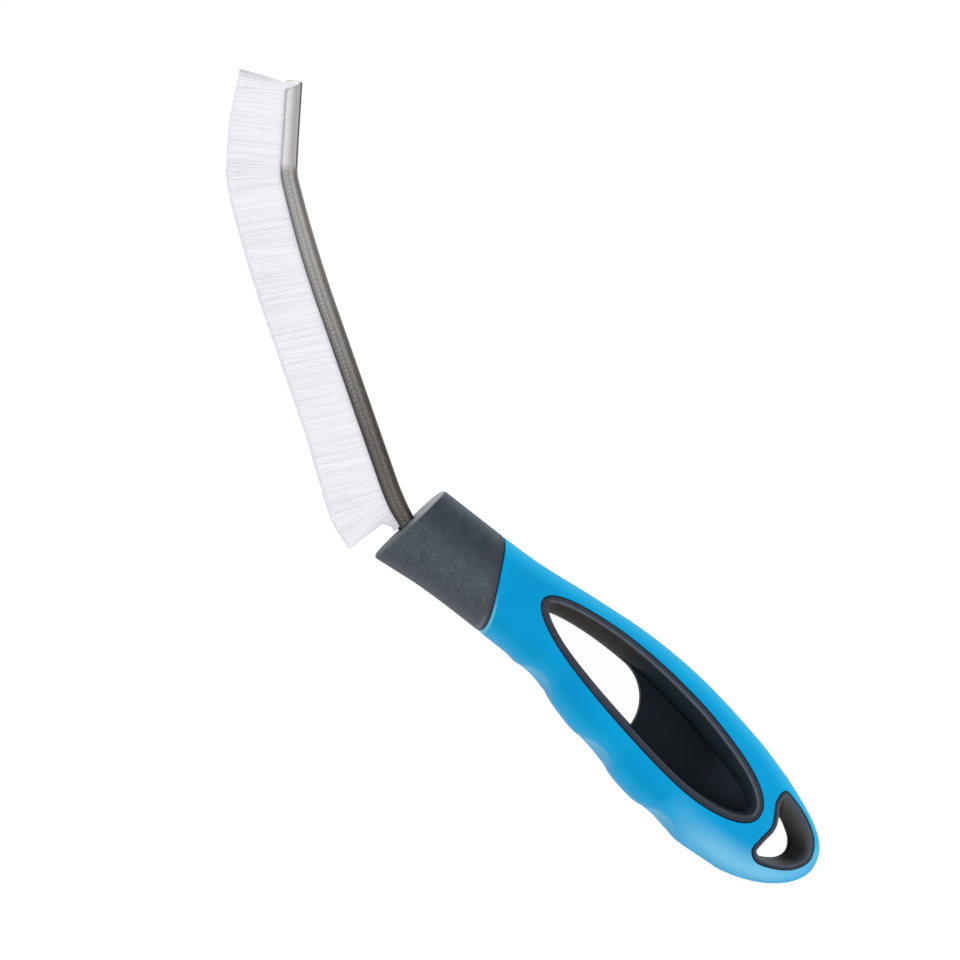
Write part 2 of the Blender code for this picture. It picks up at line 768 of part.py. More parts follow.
def buildWire():
    r = 0.5 * WIRE_DIAMETER
    profile = []
    for i in range(WIRE_POINTS):
        a = 2.0 * math.pi * i / WIRE_POINTS
        profile.append((wireCentre() + r * math.sin(a), r * math.cos(a)))
    points, faces = loftRings(sweepProfile(profile, 0.0, OUTSIDE_LENGTH, CUT_SLOPE))
    makeObject("retaining_wire", points, faces, "wire_steel", smoothAngle=50.0)


FILL_START = 0.5 * CUT_SLOPE * CHANNEL_WIDTH + TIP_CLEARANCE


def cutFollow(s):
    """How far the fill still follows the channel's slanted cut, from 1 at its start to 0."""
    return 1.0 - smoothStep(FILL_START, FILL_START + SPLAY_LENGTH, s)


def filamentReach(s):
    grown = smoothStep(OUTSIDE_LENGTH - HEEL_REACH_GROWTH, OUTSIDE_LENGTH, s)
    drop = TIP_REACH_DROP * (1.0 - smoothStep(0.0, TIP_DROP_LENGTH, s))
    return FILAMENT_REACH + (HEEL_REACH - FILAMENT_REACH) * grown - drop


def filamentLean(s):
    """How far filaments lean towards the tip, in degrees. They splay at both ends of the fill."""
    grow = smoothStep(TIP_LENGTH, TIP_LENGTH + EASE_LENGTH, s)
    fade = 1.0 - smoothStep(OUTSIDE_LENGTH - 2.0 * NECK_LENGTH, OUTSIDE_LENGTH, s)
    tipSplay = TIP_SPLAY * (1.0 - smoothStep(0.0, SPLAY_LENGTH, s))
    heelSplay = HEEL_SPLAY * smoothStep(OUTSIDE_LENGTH - SPLAY_LENGTH, OUTSIDE_LENGTH, s)
    return FILAMENT_LEAN * grow * fade + tipSplay - heelSplay


def strandTip(s, z, rootU):
    """End of a strand that leaves the backing at s, and at height z across the strip."""
    place, along, across = stripFrame(s)
    lean = math.radians(filamentLean(s))
    way = across * math.cos(lean) - along * math.sin(lean)
    length = (filamentReach(s) - rootU) / math.cos(lean)
    root = place + rootU * across
    outermost = BACKING_HALF_WIDTH * (1.0 - 2.0 / (3.0 * STRAND_ROWS))
    spread = 0.5 * FAN_THICKNESS / outermost
    end = root + length * way + CUT_SLOPE * cutFollow(s) * (z * spread - z) * along
    return Vector((end.x, end.y, z * spread))


def buildFilaments(name, start, end, rng):
    """Strands of one stretch of the strip, fused to their slice of backing inside the channel."""
    w = BACKING_HALF_WIDTH
    low = wireCentre() + 0.5 * WIRE_DIAMETER + SEAT_GAP
    high = 0.5 * CHANNEL_HEIGHT
    steps = max(2, int(round((end - start) / STRAND_PITCH)))
    points = []
    faces = []

    def add(s, u, z):
        place, _, across = stripFrame(s + CUT_SLOPE * cutFollow(s) * z)
        p = place + u * across
        points.append((p.x, p.y, z))
        return len(points) - 1

    grid = []
    under = []
    for i in range(steps + 1):
        s = start + (end - start) * i / steps
        grid.append([add(s, high, -w + 2.0 * w * r / STRAND_ROWS) for r in range(STRAND_ROWS + 1)])
        under.append([add(s, low, -w), add(s, low, w)])
    for i in range(steps):
        s = start + (end - start) * (i + 0.5) / steps
        a, b = under[i]
        c, d = under[i + 1]
        faces.append((a, b, d, c))
        faces.append((a, c, grid[i + 1][0], grid[i][0]))
        faces.append((b, grid[i][-1], grid[i + 1][-1], d))
        for r in range(STRAND_ROWS):
            square = (grid[i][r], grid[i + 1][r], grid[i + 1][r + 1], grid[i][r + 1])
            halves = ((0, 1, 2), (0, 2, 3)) if (i + r) % 2 == 0 else ((0, 1, 3), (1, 2, 3))
            for corners in halves:
                base = [square[c] for c in corners]
                addStrand(points, faces, base, s, high, rng)
    faces.append((under[0][0], *grid[0], under[0][1]))
    faces.append((under[-1][1], *reversed(grid[-1]), under[-1][0]))
    makeObject(name, points, faces, "filament_white", smoothAngle=80.0)


def addStrand(points, faces, base, s, rootU, rng):
    """One three-sided strand that grows from a triangle of the backing's face."""
    corners = [Vector(points[i]) for i in base]
    centre = sum(corners, Vector()) / 3.0
    place, along, _ = stripFrame(s)
    offset = (centre.xy - place).dot(along)
    tip = strandTip(s + offset, centre.z, rootU)
    way = (tip - centre) * (1.0 - rng.uniform(0.0, STRAND_TRIM))
    root = []
    top = []
    for corner in corners:
        p = centre.lerp(corner, STRAND_WIDTH_SHARE)
        q = centre.lerp(corner, STRAND_WIDTH_SHARE * STRAND_TAPER) + way
        points.append(tuple(p))
        root.append(len(points) - 1)
        points.append(tuple(q))
        top.append(len(points) - 1)
    for i in range(3):
        j = (i + 1) % 3
        faces.append((base[i], base[j], root[j], root[i]))
        faces.append((root[i], root[j], top[j], top[i]))
    faces.append(tuple(top))


def buildAllFilaments():
    """The bend has a section of its own, and the rest of the strip is shared out evenly."""
    rng = random.Random(FILAMENT_SEED)
    bendEnd = TIP_LENGTH + BEND_LENGTH + BEND_SECTION_MARGIN
    ends = [TIP_LENGTH - BEND_SECTION_MARGIN, bendEnd]
    evenCount = len(SECTION_NAMES) - len(ends)
    evenLength = (OUTSIDE_LENGTH - HEEL_CLEARANCE - bendEnd) / evenCount
    ends += [bendEnd + evenLength * (i + 1) for i in range(evenCount)]
    start = FILL_START
    for name, end in zip(SECTION_NAMES, ends):
        buildFilaments(name, start, end - SECTION_GAP, rng)
        start = end


buildCollar()
buildGrip()
buildFingerOpeningLiner()
buildHangHoleLiner()
buildChannel()
buildWire()
buildAllFilaments()


# Origin: under the middle of the whole brush, at the height that it rests on

bpy.context.view_layer.update()
low = Vector((1e9, 1e9, 1e9))
high = -low
for obj in bpy.data.objects:
    if obj.type == "MESH" and not obj.hide_render:
        for vertex in obj.data.vertices:
            for axis in range(3):
                low[axis] = min(low[axis], vertex.co[axis])
                high[axis] = max(high[axis], vertex.co[axis])
brush.location = (-0.5 * (low.x + high.x), -0.5 * (low.y + high.y), -low.z)
bpy.context.view_layer.update()
print("brush origin offset", tuple(round(c, 5) for c in brush.location))
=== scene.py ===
import random
from math import ceil, copysign, cos, exp, hypot, inf, pi, radians, sin, sqrt, tan, tau

import bmesh
import bpy
from mathutils import Matrix, Vector


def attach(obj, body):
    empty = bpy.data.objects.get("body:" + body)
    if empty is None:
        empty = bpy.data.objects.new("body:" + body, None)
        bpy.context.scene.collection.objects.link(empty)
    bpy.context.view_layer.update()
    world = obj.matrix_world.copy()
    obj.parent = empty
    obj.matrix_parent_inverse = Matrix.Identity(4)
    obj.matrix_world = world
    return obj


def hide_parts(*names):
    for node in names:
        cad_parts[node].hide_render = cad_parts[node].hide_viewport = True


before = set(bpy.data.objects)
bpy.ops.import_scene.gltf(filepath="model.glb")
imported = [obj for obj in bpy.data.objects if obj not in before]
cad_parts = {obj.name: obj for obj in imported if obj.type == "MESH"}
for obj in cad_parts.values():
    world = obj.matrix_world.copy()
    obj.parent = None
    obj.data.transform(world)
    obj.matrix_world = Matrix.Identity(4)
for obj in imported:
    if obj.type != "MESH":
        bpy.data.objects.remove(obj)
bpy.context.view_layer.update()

# Outlines are drawn in millimetres in the handle's own frame: x runs from the collar's front face to the tail,
# y across the handle away from the filaments, z up from the middle of its thickness.
placing = {"origin": (-17.45, -28.141, 12), "metresPerMm": 0.001, "body": "root"}
creaseAngle = 40  # edges that turn more than this stay sharp


# General helpers

def clamp(value, low, high):
    return max(low, min(high, value))


def ease(start, end, x):  # 0 at start and 1 at end, whichever of them is larger
    t = clamp((x - start) / (end - start), 0, 1)
    return t * t * (3 - 2 * t)


def evenly(start, end, count):  # values from start to end in equal steps, with both ends
    return [start + (end - start) * i / count for i in range(count + 1)]


def circle(x, y, radius, count, turn=0):
    return [(x + radius * cos(a), y + radius * sin(a)) for a in evenly(turn, turn + tau, count)[:-1]]


def hermite(t, y0, slope0, y1, slope1):
    s = t * t
    c = s * t
    return (2 * c - 3 * s + 1) * y0 + (c - 2 * s + t) * slope0 + (3 * s - 2 * c) * y1 + (c - s) * slope1


def curveThrough(knots, x):
    xs, ys = zip(*knots)
    slopes = []
    for i in range(len(knots)):
        a = max(i - 1, 0)
        b = min(i + 1, len(knots) - 1)
        slopes.append((ys[b] - ys[a]) / (xs[b] - xs[a]))
    if x <= xs[0]:
        return ys[0] + slopes[0] * (x - xs[0])
    for i in range(len(knots) - 1):
        if x <= xs[i + 1]:
            span = xs[i + 1] - xs[i]
            return hermite((x - xs[i]) / span, ys[i], slopes[i] * span, ys[i + 1], slopes[i + 1] * span)
    return ys[-1] + slopes[-1] * (x - xs[-1])


def superRound(t, fullness):  # 1 in the middle, 0 at t = -1 and t = 1
    return max(0, 1 - abs(t) ** fullness) ** (1 / fullness)


def signedPower(value, power):
    return copysign(abs(value) ** power, value)


def inHandle(p):  # a mesh point in the handle's frame, in millimetres
    return [c / placing["metresPerMm"] - o for c, o in zip(p, placing["origin"])]


def toWorld(p):
    return Vector([placing["metresPerMm"] * (c + o) for c, o in zip(p, placing["origin"])])


# Shader helpers

class Wire:  # a socket that takes part in sums
    def __init__(self, finish, socket):
        self.finish = finish
        self.socket = socket

    def maths(self, operation, *others):
        return self.finish.node("Math", {"operation": operation}, dict(enumerate((self,) + others)))

    def __add__(self, other):
        return self.maths("ADD", other)

    def __sub__(self, other):
        return self.maths("SUBTRACT", other)

    def __mul__(self, other):
        return self.maths("MULTIPLY", other)

    def __rsub__(self, other):
        return self.finish.node("Math", {"operation": "SUBTRACT"}, {0: other, 1: self})

    __radd__ = __add__
    __rmul__ = __mul__

    def band(self, start, end):  # 0 at start and 1 at end, whichever of them is larger
        ends = {"Value": self, "From Min": start, "From Max": end}
        return self.finish.node("MapRange", {"interpolation_type": "SMOOTHSTEP"}, ends)


class Finish:  # the nodes of one material or world
    def __init__(self, owner):
        owner.use_nodes = True
        self.owner = owner
        self.tree = owner.node_tree
        self.tree.nodes.clear()

    def node(self, kind, settings=None, sockets=None, out=0):
        made = self.tree.nodes.new("ShaderNode" + kind)
        for key, value in (settings or {}).items():
            if key == "stops":
                self.setStops(made.color_ramp, value)
            else:
                setattr(made, key, value)
        for key, value in (sockets or {}).items():
            if isinstance(value, Wire):
                self.tree.links.new(value.socket, made.inputs[key])
            else:
                made.inputs[key].default_value = value
        return Wire(self, made.outputs[out]) if made.outputs else None

    def setStops(self, ramp, stops):
        while len(ramp.elements) < len(stops):
            ramp.elements.new(1)
        for element, (place, colour) in zip(ramp.elements, stops):
            element.position = place
            element.color = colour

    def mix(self, factor, a, b, blend="MIX"):
        return self.node("Mix", {"data_type": "RGBA", "blend_type": blend}, {0: factor, 6: a, 7: b}, out=2)

    def coats(self, look, colour, **masks):  # each coat has its share, its colour and often its fade
        for name, mask in masks.items():
            share, tone, *fade = look[name]
            mask = mask.band(*fade) if fade else mask
            colour = self.mix(mask * share, colour, tone)
        return colour

    def vector(self, operation, a, b):
        return self.node("VectorMath", {"operation": operation}, {0: a, 1: b})

    def place(self):  # the point in the handle's frame, in millimetres
        point = self.node("TexCoord", out="Object")
        scaled = self.vector("MULTIPLY", point, (1 / placing["metresPerMm"],) * 3)
        return self.vector("SUBTRACT", scaled, placing["origin"])

    def numbers(self, *names):  # the numbers that each point of the mesh carries
        return [self.node("Attribute", {"attribute_name": name}, out="Fac") for name in names]

    def axis(self, vector, name):
        return self.node("SeparateXYZ", sockets={0: vector}, out=name)

    def noise(self, vector, scale, detail=3, roughness=0.5):
        sockets = {"Vector": vector, "Scale": scale, "Detail": detail, "Roughness": roughness}
        return self.node("TexNoise", sockets=sockets)

    def bump(self, height, distance, strength=0.5):
        return self.node("Bump", sockets={"Height": height, "Distance": distance, "Strength": strength})

    def surface(self, look, colour, uneven, others):
        shader = self.node("BsdfPrincipled", sockets={
            "Base Color": colour,
            "Roughness": look["roughness"] + uneven,
            "Metallic": look.get("metallic", 0),
            "Specular IOR Level": look.get("specular", 0.5),
            **others,
        })
        self.node("OutputMaterial", sockets={"Surface": shader})
        return self.owner


def newFinish(name):
    return Finish(bpy.data.materials.new(name))


def sRgb(r, g, b):  # a colour read from 0 to 255 on a screen, as the shader wants it
    linear = []
    for c in (r / 255, g / 255, b / 255):
        linear.append(c / 12.92 if c <= 0.04045 else ((c + 0.055) / 1.055) ** 2.4)
    return (*linear, 1)


# Object and mesh helpers

def addObject(name, data):
    made = bpy.data.objects.new(name, data)
    bpy.context.scene.collection.objects.link(made)
    return made


def makePiece(name, shape, material=None, sharpAngle=creaseAngle):
    points, faces = shape
    mesh = bpy.data.meshes.new(name)
    mesh.from_pydata([toWorld(p) for p in points], [], faces)
    shell = bmesh.new()
    shell.from_mesh(mesh)
    bmesh.ops.recalc_face_normals(shell, faces=shell.faces)
    shell.to_mesh(mesh)
    shell.free()
    mesh.update()
    if material:
        mesh.materials.append(material)
    mesh.shade_smooth()
    mesh.set_sharp_from_angle(angle=radians(sharpAngle))
    return addObject(name, mesh)


def loftRings(rings, joinEnds=False):  # a skin over rings of points, with its ends closed or joined to each other
    count = len(rings[0])
    points = [p for ring in rings for p in ring]
    faces = []
    spans = len(rings) if joinEnds else len(rings) - 1
    for i in range(spans):
        n = (i + 1) % len(rings)
        for j in range(count):
            k = (j + 1) % count
            faces.append((i * count + j, i * count + k, n * count + k, n * count + j))
    if not joinEnds:
        last = (len(rings) - 1) * count
        faces.append(tuple(range(count)))
        faces.append(tuple(last + j for j in reversed(range(count))))
    return points, faces


def modify(piece, kind, **settings):
    modifier = piece.modifiers.new(kind, kind)
    for key, value in settings.items():
        setattr(modifier, key, value)


def carve(piece, tools, operation="DIFFERENCE"):
    for tool in tools:
        modify(piece, "BOOLEAN", operation=operation, solver="EXACT", object=tool)
    settle(piece)
    for tool in tools:
        bpy.data.objects.remove(tool, do_unlink=True)


def settle(piece):  # modifiers become part of the mesh
    bpy.context.view_layer.update()
    graph = bpy.context.evaluated_depsgraph_get()
    done = bpy.data.meshes.new_from_object(piece.evaluated_get(graph))
    old = piece.data
    piece.modifiers.clear()
    piece.data = done
    bpy.data.meshes.remove(old)
    done.name = piece.name
    done.shade_smooth()
    done.set_sharp_from_angle(angle=radians(creaseAngle))


def mirrored(rings):
    return [[(x, y, -z) for x, y, z in ring] for ring in reversed(rings)]


def giveNumbers(piece, names, rows):  # a row of numbers for each point, for the materials
    for name, values in zip(names, zip(*rows)):
        piece.data.attributes.new(name, "FLOAT", "POINT").data.foreach_set("value", values)


def finishPiece(piece, slotName, *nodes):
    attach(piece, placing["body"])
    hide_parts(*nodes)


# Handle outline

handle = {
    "length": 150,
    # the two edges as far as the tail: place along the handle, place across it
    "upperKnots": [(0, 12.9), (33, 13.1), (54, 15.2), (73.5, 16.6), (93, 15.7), (115.5, 11.9), (128, 8.6)],
    "lowerKnots": [(0, -13.1), (15, -11.8), (37.5, -11.8), (54, -12.75), (79.5, -18.85), (103.5, -23),
                   (117, -24.21), (128, -23.75)],
    "tailDrop": 7.8,
    "upperTail": (-0.34, 14.5),  # slope where the tail starts, rounding at its end
    "lowerTail": (0.18, -5.2),
    "tailReach": 20,  # how far before the tail its rounding counts as the lower edge
    "thickness": 24,
    "frontThickness": 22.4,
    "tailThickness": 17,
    "leastHalfThickness": 0.2,
    "edgeRoll": 9.5,
    "collarEdgeRoll": 7.5,
    "edgeFullness": 2.3,
    "frontTaper": 17.2,
    "rollGrown": 57.2,
    "tailTaperStart": 111.5,
    "tailTaperEnd": 139,
    "tailRound": 9.9,
    "tailFullness": 2.4,
    "rollLimit": 0.48,
    "grooveCount": 3,
    "grooveFirst": 54,
    "groovePitch": 25.8,
    "grooveFades": (0.5, 0.15, 0.62),  # fades before the first groove and after the last
    "grooveDepth": 1.7,
    "grooveLate": 0.35,
    "grooveGrowth": 0.12,
    "grooveBelly": 0.3,
    "grooveSquaring": 1.8,
    "rollSteps": 14,
    "flatSteps": 6,
}
tailStart = handle["upperKnots"][-1][0]
tailLength = handle["length"] - tailStart


def edgeAt(x, knots, tail):
    if x <= tailStart:
        return curveThrough(knots, x)
    slope, rounding = tail
    share = 1 - sqrt(max(0, handle["length"] - x) / tailLength)
    endSlope = -copysign(sqrt(2 * abs(rounding) * tailLength), rounding)
    return hermite(share, knots[-1][1], slope * 2 * tailLength, -handle["tailDrop"], endSlope)


def upperEdge(x):
    return edgeAt(x, handle["upperKnots"], handle["upperTail"])


def lowerBase(x):
    return edgeAt(x, handle["lowerKnots"], handle["lowerTail"])


def grooveWave(x):  # 1 in a finger groove, -1 on a crest, 0 past the first and last
    first = handle["grooveFirst"]
    pitch = handle["groovePitch"]
    last = first + (handle["grooveCount"] - 1) * pitch
    start, grown, gone = handle["grooveFades"]
    fade = ease(first - start * pitch, first - grown * pitch, x)
    fade *= ease(last + gone * pitch, last, x)
    fade *= 1 + handle["grooveGrowth"] * (x - first) / pitch
    turn = tau * (x - first) / pitch
    wave = cos(turn + handle["grooveLate"] * sin(turn))
    return fade * wave * (1 + handle["grooveBelly"] * (1 - wave * wave))


def halfThickness(x):
    full = 0.5 * handle["thickness"]
    start = handle["tailTaperStart"]
    h = full
    if x < handle["frontTaper"]:
        h -= (full - 0.5 * handle["frontThickness"]) * (1 - x / handle["frontTaper"]) ** 2
    if x > start:
        h -= (full - 0.5 * handle["tailThickness"]) * ((x - start) / (handle["tailTaperEnd"] - start)) ** 2
    roundStart = handle["length"] - handle["tailRound"]
    if x > roundStart:
        h *= superRound((x - roundStart) / handle["tailRound"], handle["tailFullness"])
    return h


def edgeRoll(x):
    blend = ease(handle["frontTaper"], handle["rollGrown"], x)
    return handle["collarEdgeRoll"] + (handle["edgeRoll"] - handle["collarEdgeRoll"]) * blend


def surfaceHeight(x, y):
    upper = upperEdge(x)
    lower = lowerBase(x)
    roll = min(edgeRoll(x), handle["rollLimit"] * (upper - lower))
    inside = max(0, min(upper - y, y - lower))
    if inside >= roll:
        return halfThickness(x)
    return halfThickness(x) * superRound((roll - inside) / roll, handle["edgeFullness"])


def onSkin(outline, depth):  # an outline laid on the handle's skin, or below it
    return [(x, y, surfaceHeight(x, y) - depth) for x, y in outline]


def rollCorner(fullness):
    angles = evenly(0, 0.5 * pi, handle["rollSteps"])
    return [(cos(a) ** (2 / fullness), sin(a) ** (2 / fullness)) for a in angles]


def sectionRing(x, lean=0, inset=0):  # the handle's section at a place, leaning or moved inwards
    def shifted(edge):
        y = edge(x)
        for _ in range(3):
            y = edge(x + lean * y)
        return y
    wave = grooveWave(x)
    upper = shifted(upperEdge) - inset
    lowerPlain = shifted(lowerBase) + inset
    lower = lowerPlain + 0.5 * handle["grooveDepth"] * wave
    roll = min(edgeRoll(x), handle["rollLimit"] * (upper - lowerPlain))
    lowerRoll = roll - (lower - lowerPlain)
    fullness = handle["edgeFullness"]
    half = [(upper - roll + roll * out, up) for out, up in rollCorner(fullness)]
    half += [(y, 1) for y in evenly(upper - roll, lower + lowerRoll, handle["flatSteps"])[1:-1]]
    lowerCorner = rollCorner(fullness + handle["grooveSquaring"] * max(0, wave))
    half += [(lower + lowerRoll - lowerRoll * out, up) for out, up in reversed(lowerCorner)]
    points = []
    for y, up in half:
        place = x + lean * y
        points.append((place, y, up * max(handle["leastHalfThickness"], halfThickness(place) - inset)))
    return points + [(px, py, -pz) for px, py, pz in reversed(points[1:-1])]


def lowerGap(x, y):  # how far a point lies inside the lower edge
    gap = y - lowerBase(x) - 0.5 * handle["grooveDepth"] * grooveWave(x)
    if x > tailStart - handle["tailReach"]:
        for step in range(1, handle["tailReach"]):
            ahead = min(x + step, handle["length"])
            gap = min(gap, hypot(ahead - x, max(0, y - lowerBase(ahead))))
    return gap


def roundedEnd(x, lean, radius, steps, towards):
    # rings of a rounded edge that starts at x and grows towards the piece's middle
    rings = []
    for a in evenly(0, 0.5 * pi, steps):
        rings.append(sectionRing(x + towards * radius * (1 - cos(a)), lean, radius * (1 - sin(a))))
    return rings


# Opening outlines, both drawn clockwise

opening = {
    "start": 41.3,
    "widest": 92.4,
    "end": 126.6,
    "halfHeight": 10.93,
    "frontFullness": 2,
    "rearFullness": 2.14,
    "middle": [(41.3, 4.1), (51.6, 3), (65.2, 1.65), (79.7, -0.15), (94.2, -2.3), (109.5, -4.7), (126.6, -6.5)],
    "evenInset": 2.1,
    "points": 150,
}
hang = {
    "outline": [(130.9, -6.2), (127.9, -0.3), (128.7, 3.9), (133.2, 3.7), (139.3, 1.9), (144.6, -1.5),
                (147, -6.8), (144.2, -12), (139, -15.5), (133.6, -17.2), (130.3, -15.4), (130.4, -11.4)],
    "waist": [(132.9, -7), (132.3, -4), (132.6, -2.2), (134.2, -1.7), (136.8, -3.1), (139.3, -5.1),
              (140.6, -8), (139.6, -10.9), (137, -13), (134.6, -13.9), (133, -12.8), (132.8, -10)],
    "steps": 12,
}
widest = opening["widest"]


def openingSide(x):  # how far the opening runs that way from its widest place, and its fullness there
    if x < widest:
        return widest - opening["start"], opening["frontFullness"]
    return opening["end"] - widest, opening["rearFullness"]


def openingEdges(x, inset):
    length, fullness = openingSide(x)
    t = clamp((x - widest) / (length - inset), -1, 1)
    half = (opening["halfHeight"] - inset) * superRound(t, fullness)
    middle = curveThrough(opening["middle"], x)
    return middle + half, middle - half


def insetLine(points, inset):  # a closed line moved inwards
    moved = []
    for i, (x, y) in enumerate(points):
        before = points[i - 1]
        after = points[(i + 1) % len(points)]
        run = Vector((after[0] - before[0], after[1] - before[1])).normalized()
        moved.append((x + inset * run.y, y - inset * run.x))
    return moved


def openingOutline(inset):
    even = min(inset, opening["evenInset"])
    outline = []
    for a in evenly(0, tau, opening["points"])[:-1]:
        length, fullness = openingSide(widest - cos(a))
        x = widest - length * signedPower(cos(a), 2 / fullness)
        rise = opening["halfHeight"] * signedPower(sin(a), 2 / fullness)
        outline.append((x, curveThrough(opening["middle"], x) + rise))
    outline = insetLine(outline, even)
    rest = inset - even
    if rest <= 0:
        return outline
    shrunk = []
    for x, y in outline:
        length, _ = openingSide(x)
        closer = widest + (x - widest) * (1 - rest / (length - even))
        rise = (y - curveThrough(opening["middle"], x)) * (1 - rest / (opening["halfHeight"] - even))
        shrunk.append((closer, curveThrough(opening["middle"], closer) + rise))
    return shrunk


def closedCurve(knots):  # a smooth closed line through the knots
    points = []
    for i in range(len(knots)):
        a, b, c, d = [knots[(i + k - 1) % len(knots)] for k in range(4)]
        for j in range(hang["steps"]):
            t = j / hang["steps"]
            points.append(tuple(hermite(t, b[n], 0.5 * (c[n] - a[n]), c[n], 0.5 * (d[n] - b[n])) for n in (0, 1)))
    return points


def hangOutline(inset):
    return insetLine(closedCurve(hang["outline"]), inset)


# Grip

grip = {
    "stationStep": 1,
    "tailSteps": 46,
    "endTrim": 0.02,
    "seamFade": 10,
    "lipRadius": 0.3,
    "lipSteps": 4,
    "lipFlare": 1.6,
    "lipOver": 0.3,
    "colour": sRgb(0, 154, 210),
    # coats: share, colour, fade
    "cloud": (1, sRgb(0, 147, 204), 0.35, 0.65),
    # painted highlight along both edges
    "glow": (0.75, sRgb(34, 184, 234)),
    # painted highlight along the lower side of the tail
    "bloom": (0.7, sRgb(140, 210, 240)),
    # painted highlight on the lip at the lower end of the seam
    "lip": (0.75, sRgb(120, 205, 232)),
    # painted highlight: the glow along both edges, by distance from the edge
    "upperGlow": (6.5, 1.5),
    "lowerGlow": (4, 0.5),
    # painted highlight: the pale scoop beside each finger groove
    "scoopHighlight": 0.68,
    "scoopHighlightStart": sRgb(96, 194, 238),
    "scoopHighlightEnd": sRgb(58, 150, 204),
    "scoopLength": 13.6,
    "scoopBack": 4.5,
    "scoopWidth": 1.6,
    "scoopRound": 0.022,
    "scoopSoft": 0.35,
    "scoopCut": 0.1,
    # painted highlight: the pale patch along the lower side of the tail
    "bloomRise": (99, 125),
    "bloomFall": (136, 150),
    "bloomSide": (9.5, 2),
    "bloomRim": 2.5,
    "bloomFlank": (1, 5),
    # painted highlight: the pale line on the lip at the lower end of the seam
    "lipHighlightWidth": (1.1, 0.3),
    "lipHighlightRise": (-1, -8),
    "roughness": 0.45,
    "specular": 0.06,
}


def gripMaterial():
    f = newFinish("gripBlue")
    point = f.place()
    x, y, z = [f.axis(point, name) for name in "XYZ"]
    high = z.maths("ABSOLUTE")
    upperGap, lowerGap = f.numbers("upperGap", "lowerGap")
    cloud = f.noise(point, 0.05, 2)
    # painted highlight along both edges
    edges = upperGap.band(*grip["upperGlow"]).maths("MAXIMUM", 0.5 * lowerGap.band(*grip["lowerGlow"]))
    first = handle["grooveFirst"] - grip["scoopBack"]
    last = first + (handle["grooveCount"] - 0.5) * handle["groovePitch"]
    beat = (x - first).maths("FLOORED_MODULO", handle["groovePitch"]) * (1 / grip["scoopLength"])
    beat = beat.maths("MINIMUM", 1)
    width = grip["scoopWidth"] * (beat * pi).maths("SINE")
    # painted highlight in the scoop beside each finger groove
    scoopHighlight = (width - lowerGap - grip["scoopRound"] * high * high).band(0, grip["scoopSoft"])
    scoopHighlight = scoopHighlight * x.band(first - grip["scoopCut"], first) * x.band(last + grip["scoopCut"], last)
    # painted highlight along the lower side of the tail
    bloom = x.band(*grip["bloomRise"]) * lowerGap.band(*grip["bloomSide"]) * high.band(*grip["bloomFlank"])
    bloom = bloom * (0.45 + 0.55 * lowerGap.band(0, grip["bloomRim"])) * (1 - 0.45 * x.band(*grip["bloomFall"]))
    seam = x - seamSlope * y - collar["length"] - collar["seamGap"]
    # painted highlight on the lip at the lower end of the seam
    lip = seam.band(*grip["lipHighlightWidth"]) * y.band(*grip["lipHighlightRise"])
    colour = f.coats(grip, grip["colour"], cloud=cloud, glow=edges)
    colour = f.mix(scoopHighlight * grip["scoopHighlight"], colour, f.mix(beat, grip["scoopHighlightStart"], grip["scoopHighlightEnd"]))
    colour = f.coats(grip, colour, bloom=bloom, lip=lip)
    grain = f.bump(f.noise(point, 6, 2), 0.00001)
    return f.surface(grip, colour, 0.08 * (cloud - 0.5), {"Normal": grain})


def lippedCutter(name, outlineAt):
    # a cutter whose wall flares out at the skin, so that the cut edge comes out rounded
    r = grip["lipRadius"]
    top = []
    for a in evenly(0, 0.5 * pi, grip["lipSteps"]):
        top.append(onSkin(outlineAt(r * (cos(a) - 1)), r * (1 - sin(a))))
    flare = outlineAt(-grip["lipFlare"] * r)
    top.append(onSkin(flare, -grip["lipOver"] * r))
    top.append([(x, y, handle["thickness"]) for x, y in flare])
    return makePiece(name, loftRings(mirrored(top) + top))


def buildGrip():
    seat = collar["length"] + collar["seamGap"]
    hollow = collar["spigotStep"] - collar["seamGap"]
    radius = collar["seamRadius"]
    straight = opening["start"] + grip["seamFade"]
    end = handle["length"] - grip["endTrim"]
    rings = [
        sectionRing(seat + collar["spigotLength"], seamSlope, hollow),
        sectionRing(seat, seamSlope, hollow),
    ]
    rings += roundedEnd(seat, seamSlope, radius, collar["seamSteps"], 1)
    x = seat + radius + grip["stationStep"]
    while x < tailStart:
        rings.append(sectionRing(x, seamSlope * ease(straight, seat, x)))
        x += grip["stationStep"]
    for t in evenly(1, 0, grip["tailSteps"]):  # closer together towards the end
        rings.append(sectionRing(end - (end - tailStart) * t * t))
    piece = makePiece("gripMoulding", loftRings(rings), gripMaterial())
    carve(piece, [lippedCutter("fingerTool", openingOutline), lippedCutter("hangTool", hangOutline)])
    spots = [inHandle(vertex.co) for vertex in piece.data.vertices]
    gaps = [(upperEdge(x) - y, lowerGap(x, y)) for x, y, _ in spots]
    giveNumbers(piece, ("upperGap", "lowerGap"), gaps)
    finishPiece(piece, "grip_blue", "grip_body")


# Collar

